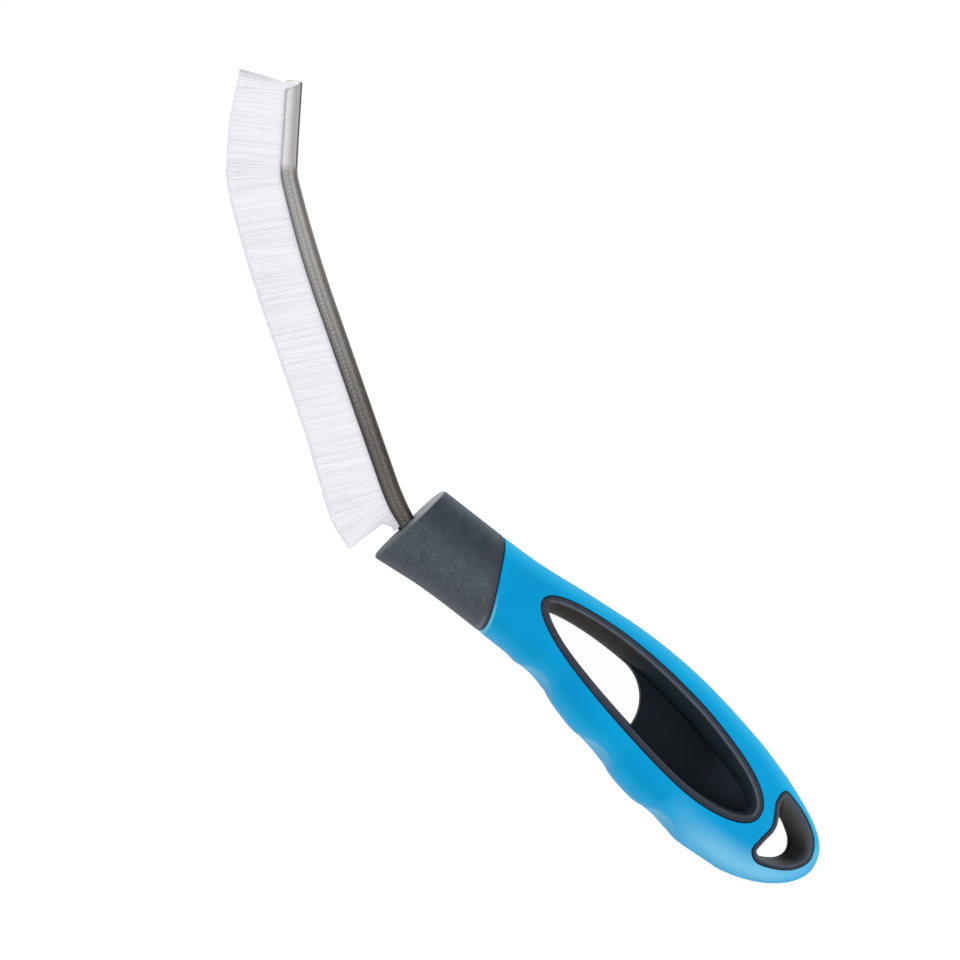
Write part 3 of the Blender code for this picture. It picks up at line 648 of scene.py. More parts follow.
collar = {
    "length": 28.6,
    "front": -0.15,
    "frontAngle": 8.4,
    "seamAngle": -25,
    "frontRadius": 1.2,
    "frontSteps": 6,
    "seamRadius": 0.5,
    "seamSteps": 4,
    "spigotStep": 1.3,
    "spigotLength": 10,
    "seamGap": 0.3,
    "socketLead": 8,
    "steps": 26,
    "colour": sRgb(65, 70, 79),
    # coats: share, colour, fade
    # painted light: the lower side made lighter, as light falls on it
    "low": (1, sRgb(82, 87, 94), 3, -3),
    "pale": (0.4, sRgb(104, 110, 120), 0.3, 0.7),
    "pits": (0.6, sRgb(36, 46, 56)),
    "shade": (0.6, sRgb(36, 46, 56)),
    # painted highlight along the top edge
    "glow": (0.45, sRgb(104, 118, 130), 8, 12.5),
    # painted shade in a band beside the seam
    "seam": (0.6, sRgb(54, 52, 60), 2.6, 0.4),
    # painted highlight on the lip at the lower end of the seam
    "lip": (0.7, sRgb(118, 120, 126)),
    # painted highlight on the front face, where light glances off it
    "face": (1, sRgb(186, 188, 192)),
    # more fades: up the side, then by distance from the seam and from the front face
    "shadeRise": (-0.5, 5),
    "shadeFall": (10.5, 6.5),
    "shadeWander": 5,
    "lipHighlightRise": (-7, -11.5),
    "lipHighlightWidth": (0.5, 1.1, 2.4, 1.3),
    "faceDepth": (0.8, 0.1),
    "faceMiddle": (-3.5, 3.5),
    "faceTop": (5, 10),
    "roughness": 0.6,
    "specular": 0.15,
    "grainScale": 2,
    "grainDepth": 0.00007,
}
frontSlope = tan(radians(collar["frontAngle"]))  # how far each edge moves along the handle for its height
seamSlope = tan(radians(collar["seamAngle"]))


def collarMaterial():
    f = newFinish("collarCharcoal")
    point = f.place()
    x, y = [f.axis(point, name) for name in "XY"]
    mottle = f.noise(point, 0.35, 4, 0.6)
    pits = {"Vector": point, "Scale": collar["grainScale"]}
    cells = f.node("TexVoronoi", {"feature": "DISTANCE_TO_EDGE"}, pits)
    fine = f.noise(point, 1.6, 2)
    leather = cells.band(0, 0.35) * 0.4 + fine.band(0.3, 0.7) * 0.6
    shade = (y + collar["shadeWander"] * (mottle - 0.5)).band(*collar["shadeRise"])
    shade = shade * y.band(*collar["shadeFall"])
    seam = collar["length"] + seamSlope * y - x
    # painted highlight on the lip at the lower end of the seam
    lip = seam.band(*collar["lipHighlightWidth"][:2]) * seam.band(*collar["lipHighlightWidth"][2:]) * y.band(*collar["lipHighlightRise"])
    # painted highlight on the front face
    face = (x - frontSlope * y).band(*collar["faceDepth"])
    face = face * (0.12 + 0.6 * y.band(*collar["faceMiddle"]) + 0.2 * y.band(*collar["faceTop"]))
    # low, glow, lip and face are painted light; shade and seam are painted shade
    colour = f.coats(
        collar, collar["colour"], low=y, pale=mottle, pits=(1 - leather) * (1 - 0.5 * shade),
        shade=shade, glow=y, seam=seam, lip=lip, face=face,
    )
    grain = f.bump(leather, collar["grainDepth"], 0.7)
    return f.surface(collar, colour, 0.2 * (fine - 0.5), {"Normal": grain})


def buildCollar():
    length = collar["length"]
    count = collar["steps"]
    step = collar["spigotStep"]
    places = evenly(collar["front"] + collar["frontRadius"], length - collar["seamRadius"], count)
    rings = roundedEnd(collar["front"], frontSlope, collar["frontRadius"], collar["frontSteps"], 1)
    for x, slope in list(zip(places, evenly(frontSlope, seamSlope, count)))[1:-1]:
        rings.append(sectionRing(x, slope))
    rings += reversed(roundedEnd(length, seamSlope, collar["seamRadius"], collar["seamSteps"], -1))
    rings += [sectionRing(x, seamSlope, step) for x in (length, length + collar["spigotLength"])]
    piece = makePiece("collarMoulding", loftRings(rings), collarMaterial())
    h = 0.5 * channel["height"] + channel["socketGap"]
    w = 0.5 * channel["width"] + channel["socketGap"]
    socket = sweepProfile([(-h, -w), (h, -w), (h, w), (-h, w)], bareLength - collar["socketLead"], stripLength)
    carve(piece, [makePiece("socketTool", loftRings(socket))])
    finishPiece(piece, "collar_charcoal", "collar")


# Liners

liner = {
    "waist": 2.5,
    "wallSteps": 12,
    "wallPower": 1.5,
    # how the rim runs from its outer edge to its inner one: share of its width, depth below the skin
    "rimLine": [(0.07, 1.6), (0.07, 0.5), (0.12, 0.2), (0.22, 0.06), (0.38, 0), (0.55, 0.03), (0.68, 0.13),
                (0.76, 0.10), (0.86, 0), (0.95, 0.06), (1, 0.25)],
    "webThickness": 2.6,
    "webRise": 3.6,
    "webRiseLength": 26,
    "webStations": 40,
    "webOverlap": 1,
    "webEnd": 0.999,
    "webEdge": 0.5,
    "webEdgeSteps": 3,
    "arcCentre": (71.2, -6.3),
    "arcRadius": 12.75,
    "arcPoints": 120,
    "rimColour": sRgb(52, 56, 66),
    "wallColour": sRgb(50, 46, 42),
    "wallStart": (0.25, 0.9),
    # coats: share, colour, fade
    "streak": (0.5, sRgb(68, 61, 54), 0.35, 0.65),
    "ridge": (1, sRgb(96, 104, 114)),
    "smudge": (0.1, sRgb(96, 104, 114)),
    # painted shade in the groove between the rim and the grip
    "gap": (0.65, sRgb(22, 26, 34), 0.65, 0.1),
    # the lit line along the rim's inner edge: shares of the rim's width, then of the line's own
    "ridgeRise": (0.5, 0.8),
    "ridgeFall": 0.9,
    "ridgeDepth": (4.5, 1.5),
    "lightSide": (0.9, -0.45),
    # each opening's rim width, lit line's width, least light on that line, and colour of its lit wall
    "finger": {"rim": 2.1, "ridge": 0.2, "lowLit": 0.25, "light": sRgb(46, 56, 66)},
    "hang": {"rim": 1.5, "ridge": 1.6, "lowLit": 0.8, "light": sRgb(88, 87, 87)},
    # the finger opening's recess with its painted shade, and the painted light on its wall and rear corner
    # painted shade in the recess, darker towards the rear
    "recessShadeColour": sRgb(24, 31, 38),
    "rearShadeColour": sRgb(17, 21, 27),
    "rearFade": (84, 116),
    "deepRise": (66, 78),
    "deepSlant": (0.6, 9),
    "webMargins": (0.2, 0.6),
    "wallRise": (1.4, 2.6),
    "side": 0.7,
    "sideReach": (4.6, 3.7),
    "sideRise": (70, 80),
    "cornerReach": (3.8, 2.8),
    "cornerRise": (104, 113),
    # the hang hole's wall, with painted light above and below and painted shade between
    "hangLow": (-9, -13),
    "hangHigh": (-6, 2),
    "hangRear": (134, 140),
    "hangMiddleShade": 0.5,
    "hangFloor": 0.6,
    "roughness": 0.45,
    "specular": 0.04,
}
linerNumbers = ("away", "below", "lit", "deep", "bright")


def linerMaterial(kind):
    rim = liner[kind]["rim"]
    ridgeWidth = liner[kind]["ridge"]
    f = newFinish("liner" + kind.capitalize())
    point = f.place()
    away, below, lit, deep, bright = f.numbers(*linerNumbers)
    smudge = f.noise(point, 0.35)
    streak = f.noise(f.vector("MULTIPLY", point, (1, 1, 0.08)), 1.1, 3, 0.6)
    ridge = away.band(*[share * rim for share in liner["ridgeRise"]])
    ridge = ridge * away.band(rim + ridgeWidth, liner["ridgeFall"] * rim)
    ridge = ridge * below.band(*[share * ridgeWidth for share in liner["ridgeDepth"]])
    # painted shade in the recess
    recess = f.mix(f.axis(point, "X").band(*liner["rearFade"]), liner["recessShadeColour"], liner["rearShadeColour"])
    wall = f.coats(liner, liner["wallColour"], streak=streak)
    wall = f.mix(bright, f.mix(deep, wall, recess), liner[kind]["light"])
    # ridge is a painted highlight, gap painted shade
    colour = f.coats(
        liner, f.mix(below.band(*liner["wallStart"]), liner["rimColour"], wall),
        ridge=ridge * lit * (0.45 + 0.4 * smudge), gap=away, smudge=smudge.band(0.3, 0.7) * (1 - deep),
    )
    grain = f.bump(f.noise(point, 5, 2) + 0.6 * streak, 0.00003)
    return f.surface(liner, colour, 0.1 * (smudge - 0.5), {"Normal": grain})


def giveLinerNumbers(piece, kind, outlineAt, recess):
    # how far each point lies inside the outline and below the skin, how lit its place is, and how much painted shade
    # and painted light it takes
    line = [Vector(p) for p in outlineAt(0)]
    runs = [line[(i + 1) % len(line)] - line[i] for i in range(len(line))]
    lightX, lightY = liner["lightSide"]
    rows = []
    for vertex in piece.data.vertices:
        x, y, z = inHandle(vertex.co)
        spot = Vector((x, y))
        away, facing = inf, 0
        for start, run in zip(line, runs):
            share = clamp((spot - start).dot(run) / run.length_squared, 0, 1)
            gap = (spot - start - share * run).length
            if gap < away:
                away, facing = gap, (lightX * run.x + lightY * run.y) / run.length
        lit = ease(-0.5, 0.5, facing)
        below = surfaceHeight(x, y) - abs(z) if away > 0.4 else 0
        deep, bright, glint = recess(x, y, z, away)
        rows.append((away, below, max(lit, liner[kind]["lowLit"]), deep, max(bright * lit, glint)))
    giveNumbers(piece, linerNumbers, rows)


# Each recess says how much painted shade a point takes for its depth, how much painted light its wall takes from
# above, and how much from anywhere

def fingerRecess(x, y, z, away):
    arcX, arcY = liner["arcCentre"]
    arcMargin, rimMargin = liner["webMargins"]
    slant, height = liner["deepSlant"]
    web = x > arcX and hypot(x - arcX, y - arcY) > liner["arcRadius"] - arcMargin
    if web and away > liner["finger"]["rim"] + rimMargin:
        deep = 1
    else:
        deep = ease(*liner["deepRise"], x + slant * (height - abs(z)))
    wall = ease(*liner["wallRise"], abs(z))
    side = wall * ease(*liner["sideReach"], away) * ease(*liner["sideRise"], x)
    corner = wall * ease(*liner["cornerReach"], away) * ease(*liner["cornerRise"], x)
    return deep, liner["side"] * side, corner


def hangRecess(x, y, *_):
    low = ease(*liner["hangLow"], y)
    high = ease(*liner["hangHigh"], y)
    deep = liner["hangMiddleShade"] * (1 - low) * (1 - high) * ease(*liner["hangRear"], x)
    return deep, high, liner["hangFloor"] * low


def linerMoulding(kind, outlineAt, waist):
    rim = liner[kind]["rim"]
    top = [onSkin(outlineAt(rim * share), depth) for share, depth in liner["rimLine"]]
    inner = top[-1]
    for h in evenly(1, 0, liner["wallSteps"])[1:]:
        grow = 1 - h ** liner["wallPower"]
        ring = []
        for (x, y, z), (waistX, waistY) in zip(inner, waist):
            ring.append((x + (waistX - x) * grow, y + (waistY - y) * grow, h * z))
        top.append(ring)
    shape = loftRings(top + mirrored(top[:-1]), joinEnds=True)
    return makePiece(kind + "Liner", shape, linerMaterial(kind))


def webRings():
    inset = liner["finger"]["rim"] + liner["waist"] - liner["webOverlap"]
    start = liner["arcCentre"][0]
    end = opening["end"] - inset
    rings = []
    for a in evenly(0, 0.5 * pi, liner["webStations"]):
        x = start + (end - start) * liner["webEnd"] * sin(a)
        high, low = openingEdges(x, inset)
        z = 0.5 * liner["webThickness"]
        z += liner["webRise"] * ease(opening["end"] - liner["webRiseLength"], opening["end"], x)
        rings.append([(x, high, -z), (x, high, z), (x, low, z), (x, low, -z)])
    return rings


def buildFingerLiner():
    waist = openingOutline(liner["finger"]["rim"] + liner["waist"])
    piece = linerMoulding("finger", openingOutline, waist)
    web = makePiece("fingerWeb", loftRings(webRings()))
    arc = circle(*liner["arcCentre"], liner["arcRadius"], liner["arcPoints"])
    rings = [[(x, y, z) for x, y in arc] for z in (-handle["thickness"], handle["thickness"])]
    carve(web, [makePiece("arcTool", loftRings(rings))])
    width = liner["webEdge"] * placing["metresPerMm"]
    modify(web, "BEVEL", width=width, segments=liner["webEdgeSteps"], angle_limit=radians(60))
    settle(web)
    carve(piece, [web], "UNION")
    giveLinerNumbers(piece, "finger", openingOutline, fingerRecess)
    finishPiece(piece, "liner_grey", "finger_opening_liner")


def buildHangLiner():
    piece = linerMoulding("hang", hangOutline, closedCurve(hang["waist"]))
    giveLinerNumbers(piece, "hang", hangOutline, hangRecess)
    finishPiece(piece, "liner_grey", "hang_hole_liner")


# Brush strip: how each stretch runs from the tip to the collar, as a length and a turn

strip = {
    "stretches": [(25.03, 0), (5.5, 17.8), (35.5, 5), (51.5, 0), (13, 9.5), (14, 12)],
    "entryAngle": 24,
    "entry": (-0.6, -0.45),
    "step": 0.1,
    "sweepStep": 1,
    "cutSlant": 40,
    "cutShares": (0.3, 1.16),  # of the slant's shift, at the channel's back and at its mouth
    "cutEase": -1.5,
}
tipLength = strip["stretches"][0][0]
neckLength = strip["stretches"][4][0]
stripLength = sum(length for length, turn in strip["stretches"])
bareLength = stripLength - strip["stretches"][-1][0]
tipAngle = strip["entryAngle"] + sum(turn for length, turn in strip["stretches"][:-1])


def headingAt(s):
    angle = tipAngle
    for length, turn in strip["stretches"]:
        angle -= turn * clamp(s / length, 0, 1)
        s -= length
    return radians(angle)


def makeStripPath():
    step = strip["step"]
    points = [Vector((0, 0))]
    for i in range(round(stripLength / step)):
        a = headingAt((i + 0.5) * step)
        points.append(points[-1] + step * Vector((cos(a), -sin(a))))
    move = Vector(strip["entry"]) - points[round(bareLength / step)]
    return [p + move for p in points]


stripPath = makeStripPath()


def stripFrame(s):  # place on the middle line, the way it runs, the way filaments point
    a = headingAt(s)
    along = Vector((cos(a), -sin(a)))
    across = Vector((-sin(a), -cos(a)))
    steps = clamp(s / strip["step"], 0, len(stripPath) - 1.001)
    i = int(steps)
    place = stripPath[i].lerp(stripPath[i + 1], steps - i)
    if s < 0:
        place = stripPath[0] + s * along
    return place, along, across


def onStrip(s, u, z):
    place, _, across = stripFrame(s)
    p = place + u * across
    return (p.x, p.y, z)


def cutShift(z):  # how far the slanted cut moves the strip's end at a height
    return tan(radians(strip["cutSlant"])) * (z + 0.5 * channel["width"])


def cutAt(u, z):  # the cut leans from the channel's back to its mouth as well
    back, front = strip["cutShares"]
    back = 1 - (1 - back) * ease(strip["cutEase"], 0.5 * channel["width"], z)
    return cutShift(z) * (back + (front - back) * (u / channel["height"] + 0.5))


def sweepProfile(profile, start, end):
    places = evenly(start, end, max(2, ceil((end - start) / strip["sweepStep"])))
    return [[onStrip(s, u, z) for u, z in profile] for s in places]


# Steel channel and its wire

channel = {
    "width": 4.8,
    "height": 4.9,
    "wall": 0.75,
    "corner": 1.3,
    "lipTurn": 0.35,
    "socketGap": 0.3,
    "step": 0.22,
    # crimped rows along each side: place across, pitch, depth, reach, how bright the painted glint on the dots is
    "crimpRows": [(0.95, 1.25, 0.11, 0.34, 1), (-0.35, 0.84, 0.05, 0.22, 0.3)],
    "flare": 0.4,
    "flareRise": 30,
    "flareFall": 6,
    "tipNarrow": 0.05,
    "narrowFade": (3, -6),
    # colours across the side, from the back to the mouth: place in millimetres, red, green, blue; the steel's tone
    # with painted shade at the back corner and edges and a painted sheen across the face
    "paleBands": [(0, 96, 86, 84), (0.4, 82, 74, 72), (0.75, 148, 146, 146), (1.4, 162, 160, 160),
                  (2.3, 174, 173, 172), (2.9, 194, 192, 192), (3.6, 208, 205, 206), (4.1, 200, 197, 198),
                  (4.6, 164, 163, 167)],
    "pastTipBands": [(0, 156, 152, 150), (0.45, 142, 138, 136), (0.8, 100, 96, 94), (1.15, 106, 103, 101),
                  (1.5, 142, 139, 138), (1.95, 176, 174, 173), (2.35, 172, 170, 169), (2.75, 150, 148, 147),
                  (3.3, 164, 162, 161), (3.7, 162, 160, 159), (4.1, 146, 145, 145), (4.5, 122, 121, 123),
                  (4.85, 96, 95, 98)],
    "bandSpan": 5.2,
    "pastTipFade": (-0.5, 2.5),
    "greyTint": sRgb(244, 244, 244),
    "brownTint": sRgb(152, 149, 145),
    "tintRun": (38, 112),
    # coats: share, colour, fade
    "paleFlecks": (0.28, sRgb(206, 204, 200)),
    "darkFlecks": (0.5, sRgb(58, 54, 52)),
    # painted glints on the crimp dots
    "dots": (1, sRgb(206, 204, 200)),
    "cutEnd": (1, sRgb(244, 243, 236)),
    # flecks, and painted glints on the crimp dots, past the bend
    "fleckPitch": (1.15, 1.1),
    "fleckSide": (1.4, 2, 4.7, 4.3),
    "fleckRise": (34, 60),
    "fleckFall": (95, 120),
    "dotShares": (0.4, 0.1),
    "dotFall": (65, 110),
    # the bright cut at the tip: its length, how far up the side it shows
    "endLength": (3.4, 2.6),
    "endHeight": (2, 1.2),
    "metallic": 1,
    "roughness": 0.36,
}


def channelMaterial():
    f = newFinish("channelSteel")
    point = f.place()
    along, across, crimp = f.numbers("along", "across", "crimp")
    blotch = f.noise(point, 0.5, 4, 0.6)
    grit = f.noise(point, 2.2, 3, 0.7)
    pastTip = along.band(*[tipLength + place for place in channel["pastTipFade"]])
    bands = []
    # the steel's tone with painted shade and sheen across the side, paler at the tip
    for name in ("paleBands", "pastTipBands"):
        stops = [(place / channel["bandSpan"], sRgb(*rgb)) for place, *rgb in channel[name]]
        bands.append(f.node("ValToRGB", {"stops": stops}, {0: across * (1 / channel["bandSpan"])}, out="Color"))
    tint = f.mix(along.band(*channel["tintRun"]), channel["greyTint"], channel["brownTint"])
    grown = pastTip * (0.45 + 0.55 * along.band(*channel["fleckRise"])) * (1 - 0.5 * along.band(*channel["fleckFall"]))
    alongPitch, acrossPitch = channel["fleckPitch"]
    beat = (along * (tau / alongPitch) + 9 * blotch).maths("SINE")
    beat = beat * (across * (tau / acrossPitch) + 3 * blotch).maths("COSINE")
    rows = across.band(*channel["fleckSide"][:2]) * across.band(*channel["fleckSide"][2:])
    fleck = beat * rows * 0.4 + 4 * (grit - 0.5)
    most, least = channel["dotShares"]
    cutEnd = f.axis(point, "Z").band(*channel["endHeight"]) * across.band(0.4, 0.7)
    colour = f.coats(
        channel, f.mix(pastTip, f.mix(pastTip, *bands), tint, "MULTIPLY"),
        paleFlecks=fleck.band(0.2, 0.9) * grown, darkFlecks=fleck.band(-0.15, -0.9) * grown,
        dots=crimp * pastTip * (most - (most - least) * along.band(*channel["dotFall"])),
        cutEnd=cutEnd * along.band(*channel["endLength"]),
    )
    uneven = 0.25 * (blotch - 0.5) + 0.15 * (grit - 0.5)
    return f.surface(channel, colour, uneven, {"Normal": f.bump(grit + 0.5 * blotch, 0.00005)})


def channelProfile():
    h = 0.5 * channel["height"]
    w = 0.5 * channel["width"]
    r = channel["corner"]
    lip = w - channel["lipTurn"]
    inner = w - channel["wall"]
    floor = -h + channel["wall"]
    side = [(h, lip - 0.28), (h, lip - 0.1), (h - 0.12, lip + 0.03), (0.75 * h, w - 0.17), (0.55 * h, w - 0.05)]
    side += [(u, w) for u in evenly(0.4 * h, -h + r, 8)]
    for k in range(1, 7):
        a = radians(15 * k)
        side.append((-h + r - r * sin(a), w - r + r * cos(a)))
    side.append((-h, 0))
    outer = side + [(u, -z) for u, z in reversed(side[:-1])]
    inside = [(h - 0.1, -lip + channel["wall"] - 0.3), (0.4 * h, -inner), (floor + 0.5, -inner),
              (floor, -inner + 0.5)]
    return outer + inside + [(u, -z) for u, z in reversed(inside)]


def buildChannel():
    profile = channelProfile()
    h = channel["height"]
    w = 0.5 * channel["width"]
    start = cutShift(w) * strip["cutShares"][1] + 0.3
    end = stripLength - channel["socketGap"]
    stations = [0] + evenly(start, end, int((end - start) / channel["step"]))
    fadeStart, fadeEnd = [tipLength + place for place in channel["narrowFade"]]
    rings = []
    rows = []
    for i, s in enumerate(stations):
        flared = ease(tipLength, tipLength + channel["flareRise"], s)
        flared *= ease(bareLength, bareLength - channel["flareFall"], s)
        narrow = 1 - channel["tipNarrow"] * ease(fadeStart, fadeEnd, s)
        ring = []
        for u, z in profile:
            at = cutAt(u, z) if i == 0 else s
            dent = mark = 0
            if abs(abs(z) - w) < 0.2:
                for rowU, pitch, depth, reach, glint in channel["crimpRows"]:
                    beat = (0.5 + 0.5 * cos(tau * s / pitch)) ** 2
                    near = exp(-((u - rowU) / reach) ** 2)
                    dent += depth * beat * near
                    mark = max(mark, beat * near * glint)
            wider = channel["flare"] * flared * (u / h + 0.5)
            ring.append(onStrip(at, u * narrow + wider, z - copysign(dent, z)))
            rows.append((at, u + 0.5 * h, mark))
        rings.append(ring)
    piece = makePiece("stripChannel", loftRings(rings), channelMaterial(), 50)
    giveNumbers(piece, ("along", "across", "crimp"), rows)
    finishPiece(piece, "channel_steel", "strip_channel")


wire = {
    "diameter": 1,
    "points": 18,
    "clearance": 0.3,
    "setBack": 1.2,
    "cutEnd": 5,
    "colour": sRgb(175, 175, 172),
    "metallic": 1,
    "roughness": 0.3,
}


def buildWire():
    f = newFinish("wireSteel")
    scratch = f.noise(f.place(), 3)
    material = f.surface(wire, wire["colour"], 0.2 * (scratch - 0.5), {"Normal": f.bump(scratch, 0.00002)})
    r = 0.5 * wire["diameter"]
    centre = -0.5 * channel["height"] + channel["wall"] + wire["clearance"] + r
    profile = [(u, z) for z, u in circle(0, centre, r, wire["points"])]
    rings = [[onStrip(cutShift(z) + wire["setBack"], u, z) for u, z in profile]]
    rings += sweepProfile(profile, wire["cutEnd"], bareLength)
    finishPiece(makePiece("coreWire", loftRings(rings), material), "wire_steel", "retaining_wire")


# Filaments

fill = {
    "strands": 9400,
    "heelCrowd": 0.05,
    "radius": 0.135,
    "reach": 17.3,
    "heelReach": 18.8,
    "heelReachGrowth": 35,
    "lean": 6,
    "leanGrowth": 24,
    "tipSplay": 8.4,
    "heelSplay": 15,
    "splayLength": 7,
    "fanThickness": 5.2,
    "mouthHalf": 1.22,
    "clumpPitch": 1.9,
    "clumpLean": 0.35,
    "strandLean": 0.45,
    "stray": 0.02,
    "strayLean": 2.5,
    "trim": 0.05,
    "tipDrop": 2.3,
    "tipDropLength": 15,
    "heelRound": (1.4, 3, 9),
    "heelNotch": (3.8, 1.5, 1.8),
    "outward": 0.6,
    "heelGap": 0.15,
    "rootLift": 0.05,
    "rootSpread": 1.2,
    "besideWire": 0.62,
    "fanLength": 14,
    "tipScatter": 0.1,
    "bow": 0.12,
    "seed": 7,
    "clumpShade": 0.35,
    "colour": sRgb(218, 217, 221),
    # coats: share, colour, fade
    "shade": (1, sRgb(211, 210, 214)),
    # painted shade on the far filaments at the tip's end face
    "end": (1, sRgb(182, 182, 184)),
    # painted light: the filaments glow, standing in for light scattered through them
    "glow": 0.32,
    "roughness": 0.5,
    "specular": 0.3,
}


def filamentMaterial():
    f = newFinish("filamentWhite")
    shade, run, end = f.numbers("shade", "run", "end")
    colour = f.coats(fill, fill["colour"], shade=shade, end=end)
    uneven = 0.1 * (f.noise(f.place(), 1.5, 2) - 0.5) + 0.1 * run
    # painted light: the filaments glow
    return f.surface(fill, colour, uneven, {"Emission Color": colour, "Emission Strength": fill["glow"]})


def filamentReach(s):
    grown = ease(bareLength - fill["heelReachGrowth"], bareLength, s)
    cut, near, far = fill["heelRound"]
    drop = fill["tipDrop"] * ease(fill["tipDropLength"], -4, s)
    drop += cut * ease(far, near, bareLength - s)
    return fill["reach"] + (fill["heelReach"] - fill["reach"]) * grown - drop


def filamentLean(s):
    left = bareLength - s
    grow = ease(tipLength, tipLength + fill["leanGrowth"], s) * ease(0, 2 * neckLength, left)
    tipSplay = fill["tipSplay"] * ease(fill["splayLength"], 0, s)
    heelSplay = fill["heelSplay"] * ease(1.5 * fill["splayLength"], 2, left)
    return fill["lean"] * grow + tipSplay - heelSplay


def heelLimit(s):  # filaments beside the collar are cut short
    full, least, growth = fill["heelNotch"]
    left = bareLength - s
    if left > full:
        return fill["heelReach"]
    return least + growth * ease(0.3 * full, full, left)


def buildFilaments():
    rng = random.Random(fill["seed"])
    mouth = 0.5 * channel["height"]
    rootU = -mouth + channel["wall"] + fill["rootLift"]
    spread = 0.5 * fill["fanThickness"] / fill["mouthHalf"]
    r = fill["radius"]
    clumpCount = int(bareLength / fill["clumpPitch"]) + 3
    clumps = [(rng.gauss(0, fill["clumpLean"]), rng.uniform(0, 1)) for _ in range(clumpCount)]
    points = []
    faces = []
    rows = []
    for n in range(fill["strands"]):
        # where the filament leaves the channel
        side = rng.uniform(-1, 1)
        z = fill["mouthHalf"] * signedPower(side, fill["outward"])
        start = cutShift(z)
        share = (n + rng.random()) / fill["strands"]
        share = (share - fill["heelCrowd"] * share ** 8) / (1 - fill["heelCrowd"])
        s = start + (bareLength - fill["heelGap"] - start) * share
        # how it leans, with its clump and by itself
        spot = s / fill["clumpPitch"] + 0.35 * sin(3.1 * z)
        clumpLean, clumpShade = clumps[int(clamp(spot, 0, clumpCount - 1))]
        lean = filamentLean(s) + clumpLean + rng.gauss(0, fill["strandLean"])
        if rng.random() < fill["stray"]:
            lean += rng.uniform(-fill["strayLean"], fill["strayLean"])
        lean = radians(lean)
        place, along, across = stripFrame(s)
        way = across * cos(lean) - along * sin(lean)
        # how far it reaches, fans out and bends
        trim = 1 - fill["trim"] * rng.random() ** 2
        length = min((filamentReach(s) - mouth) / cos(lean) * trim, heelLimit(s))
        fanned = min(1, length / fill["fanLength"])
        zTip = z + (z * spread - z) * fanned + rng.gauss(0, fill["tipScatter"])
        follow = (cutShift(zTip) - cutShift(z)) * ease(fill["splayLength"], 0, s - start)
        bow = rng.gauss(0, fill["bow"])
        shade = fill["clumpShade"] * clumpShade + (1 - fill["clumpShade"]) * rng.random()
        # painted shade on the far filaments at the tip's end face
        endShade = ease(0.5, 0.1, s - start) * ease(0.2, -1.1, z)
        turn = rng.uniform(0, 2)
        rootZ = fill["rootSpread"] * z
        if s - start >= wire["setBack"]:
            rootZ = copysign(max(abs(rootZ), fill["besideWire"]), z)
        mouthPoint = place + mouth * across
        levels = [(place + rootU * across, rootZ, 0), (mouthPoint, z, 0.02)]
        for t in (0.5, 1):
            p = mouthPoint + length * t * way + (4 * t * (1 - t) * bow + t * follow) * along
            levels.append((p, z + (zTip - z) * t, t))
        rings = []
        for p, pz, t in levels:
            ring = []
            for u, ringZ in circle(0, pz, r, 3, turn):
                q = p + u * along
                ring.append((q.x, q.y, ringZ))
                rows.append((shade, t, endShade * ease(0, 0.8, t)))
            rings.append(ring)
        skin, sides = loftRings(rings)
        faces += [[len(points) + i for i in side] for side in sides]
        points += skin
    piece = makePiece("filamentFill", (points, faces), filamentMaterial(), 80)
    giveNumbers(piece, ("shade", "run", "end"), rows)
    nodes = ["filaments_" + part for part in ("tip", "bend", "upper", "middle", "lower", "heel")]
    finishPiece(piece, "filament_white", *nodes)


# Camera, at the photograph's angle

view = {
    "toward": (-0.09, -0.20, 1),
    "up": (-0.6, 0.8, 0),
    "target": (8.638, 22.008, 0),
    "distance": 800,
    "width": 268.8,
    "sensor": 36,
}
towardCamera = Vector(view["toward"]).normalized()
pictureUp = Vector(view["up"])
pictureUp = (pictureUp - pictureUp.dot(towardCamera) * towardCamera).normalized()
pictureRight = pictureUp.cross(towardCamera)


def fromPicture(right, up, toward):  # a point by its place in the picture, in millimetres from its middle
    return toWorld(Vector(view["target"]) + right * pictureRight + up * pictureUp + toward * towardCamera)


def aim(holder, place, target):
    holder.location = place
    holder.rotation_mode = "QUATERNION"
    holder.rotation_quaternion = (target - place).to_track_quat("-Z", "Y")


def buildCamera():
    data = bpy.data.cameras.new("pictureCamera")
    data.sensor_width = view["sensor"]
    data.lens = view["sensor"] * view["distance"] / view["width"]
    camera = addObject("pictureCamera", data)
    turned = Matrix((pictureRight, pictureUp, towardCamera)).transposed()
    camera.matrix_world = Matrix.Translation(fromPicture(0, 0, view["distance"])) @ turned.to_4x4()
    bpy.context.scene.camera = camera


# Studio: pale floor, white backdrop and soft lamps

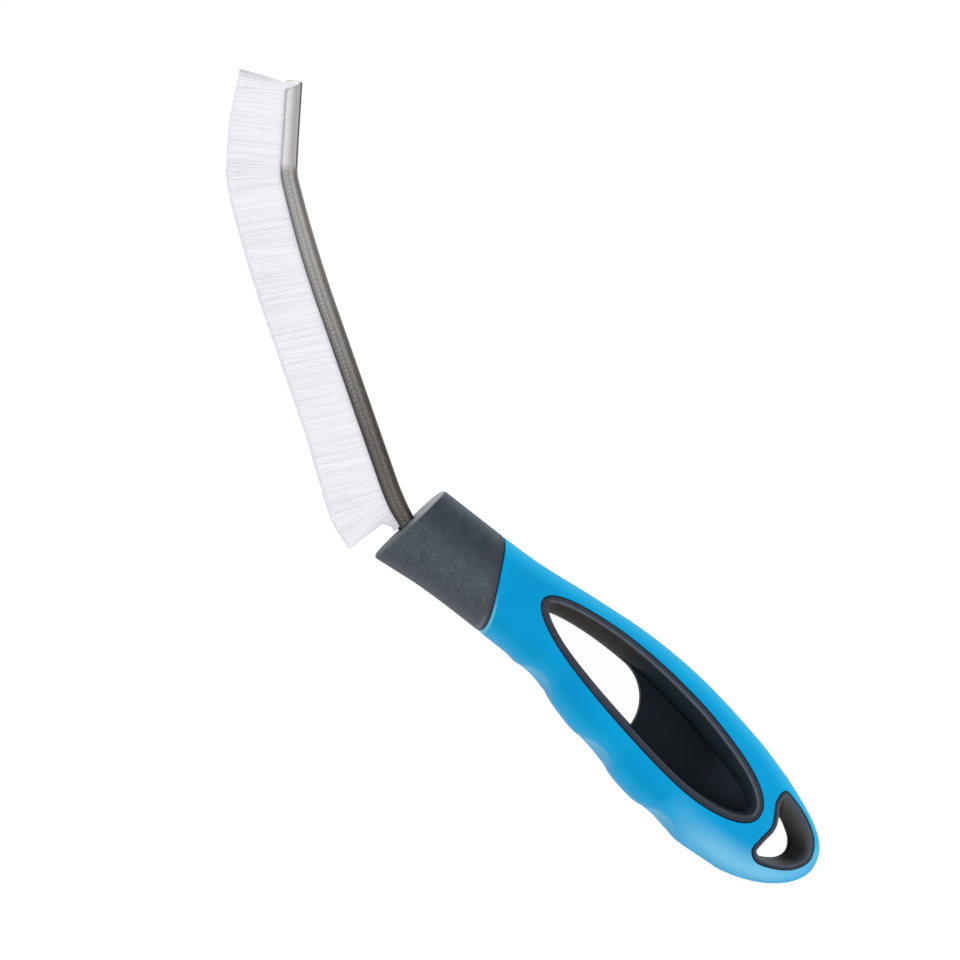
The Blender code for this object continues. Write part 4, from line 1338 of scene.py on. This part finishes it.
studio = {
    "ambient": 0.8,
    "floorColour": (0.90, 0.90, 0.90, 1),
    "floorGlow": 1.03,
    "floorShadow": 0.05,
    "floorSize": 6,
    "floorDrop": 0.0006,
    # name, place in the picture in millimetres, size in metres, power in watts
    "lamps": [
        ("keyLamp", (-350, 450, 700), 0.7, 0.8),
        ("sideLamp", (600, 250, 450), 0.6, 0.6),
        ("tailLamp", (400, -330, 560), 0.3, 0.9),
    ],
}


def backdropRays(f):  # 1 for the camera's rays and those that metal or glass show
    camera, glossy, clear = [f.node("LightPath", out=f"Is {ray} Ray") for ray in ("Camera", "Glossy", "Transmission")]
    return camera.maths("MAXIMUM", glossy).maths("MAXIMUM", clear)


def buildStudio():
    scene = bpy.context.scene
    world = bpy.data.worlds.new("studioWorld")
    scene.world = world
    f = Finish(world)
    strength = studio["ambient"] + (1 - studio["ambient"]) * backdropRays(f)
    light = f.node("Background", sockets={"Color": (1, 1, 1, 1), "Strength": strength})
    f.node("OutputWorld", sockets={"Surface": light})

    f = newFinish("floorWhite")
    paper = f.node("BsdfDiffuse", sockets={"Color": studio["floorColour"]})
    glow = f.node("Emission", sockets={"Color": (1, 1, 1, 1), "Strength": studio["floorGlow"]})
    white = f.node("MixShader", sockets={0: studio["floorShadow"], 1: glow, 2: paper})
    shown = f.node("MixShader", sockets={0: backdropRays(f), 1: paper, 2: white})
    f.node("OutputMaterial", sockets={"Surface": shown})
    half = 0.5 * studio["floorSize"]
    mesh = bpy.data.meshes.new("studioFloor")
    corners = [(-half, -half), (half, -half), (half, half), (-half, half)]
    mesh.from_pydata([(x, y, -studio["floorDrop"]) for x, y in corners], [], [(0, 1, 2, 3)])
    mesh.materials.append(f.owner)
    addObject("studioFloor", mesh)

    target = fromPicture(0, 0, 0)
    for name, place, size, power in studio["lamps"]:
        data = bpy.data.lights.new(name, "AREA")
        data.shape = "DISK"
        data.size = size
        data.energy = power
        aim(addObject(name, data), fromPicture(*place), target)
    scene.view_settings.view_transform = "Standard"


print("camera and studio")
buildCamera()
buildStudio()
print("grip")
buildGrip()
print("collar")
buildCollar()
print("liners")
buildFingerLiner()
buildHangLiner()
print("channel and wire")
buildChannel()
buildWire()
print("filaments")
buildFilaments()
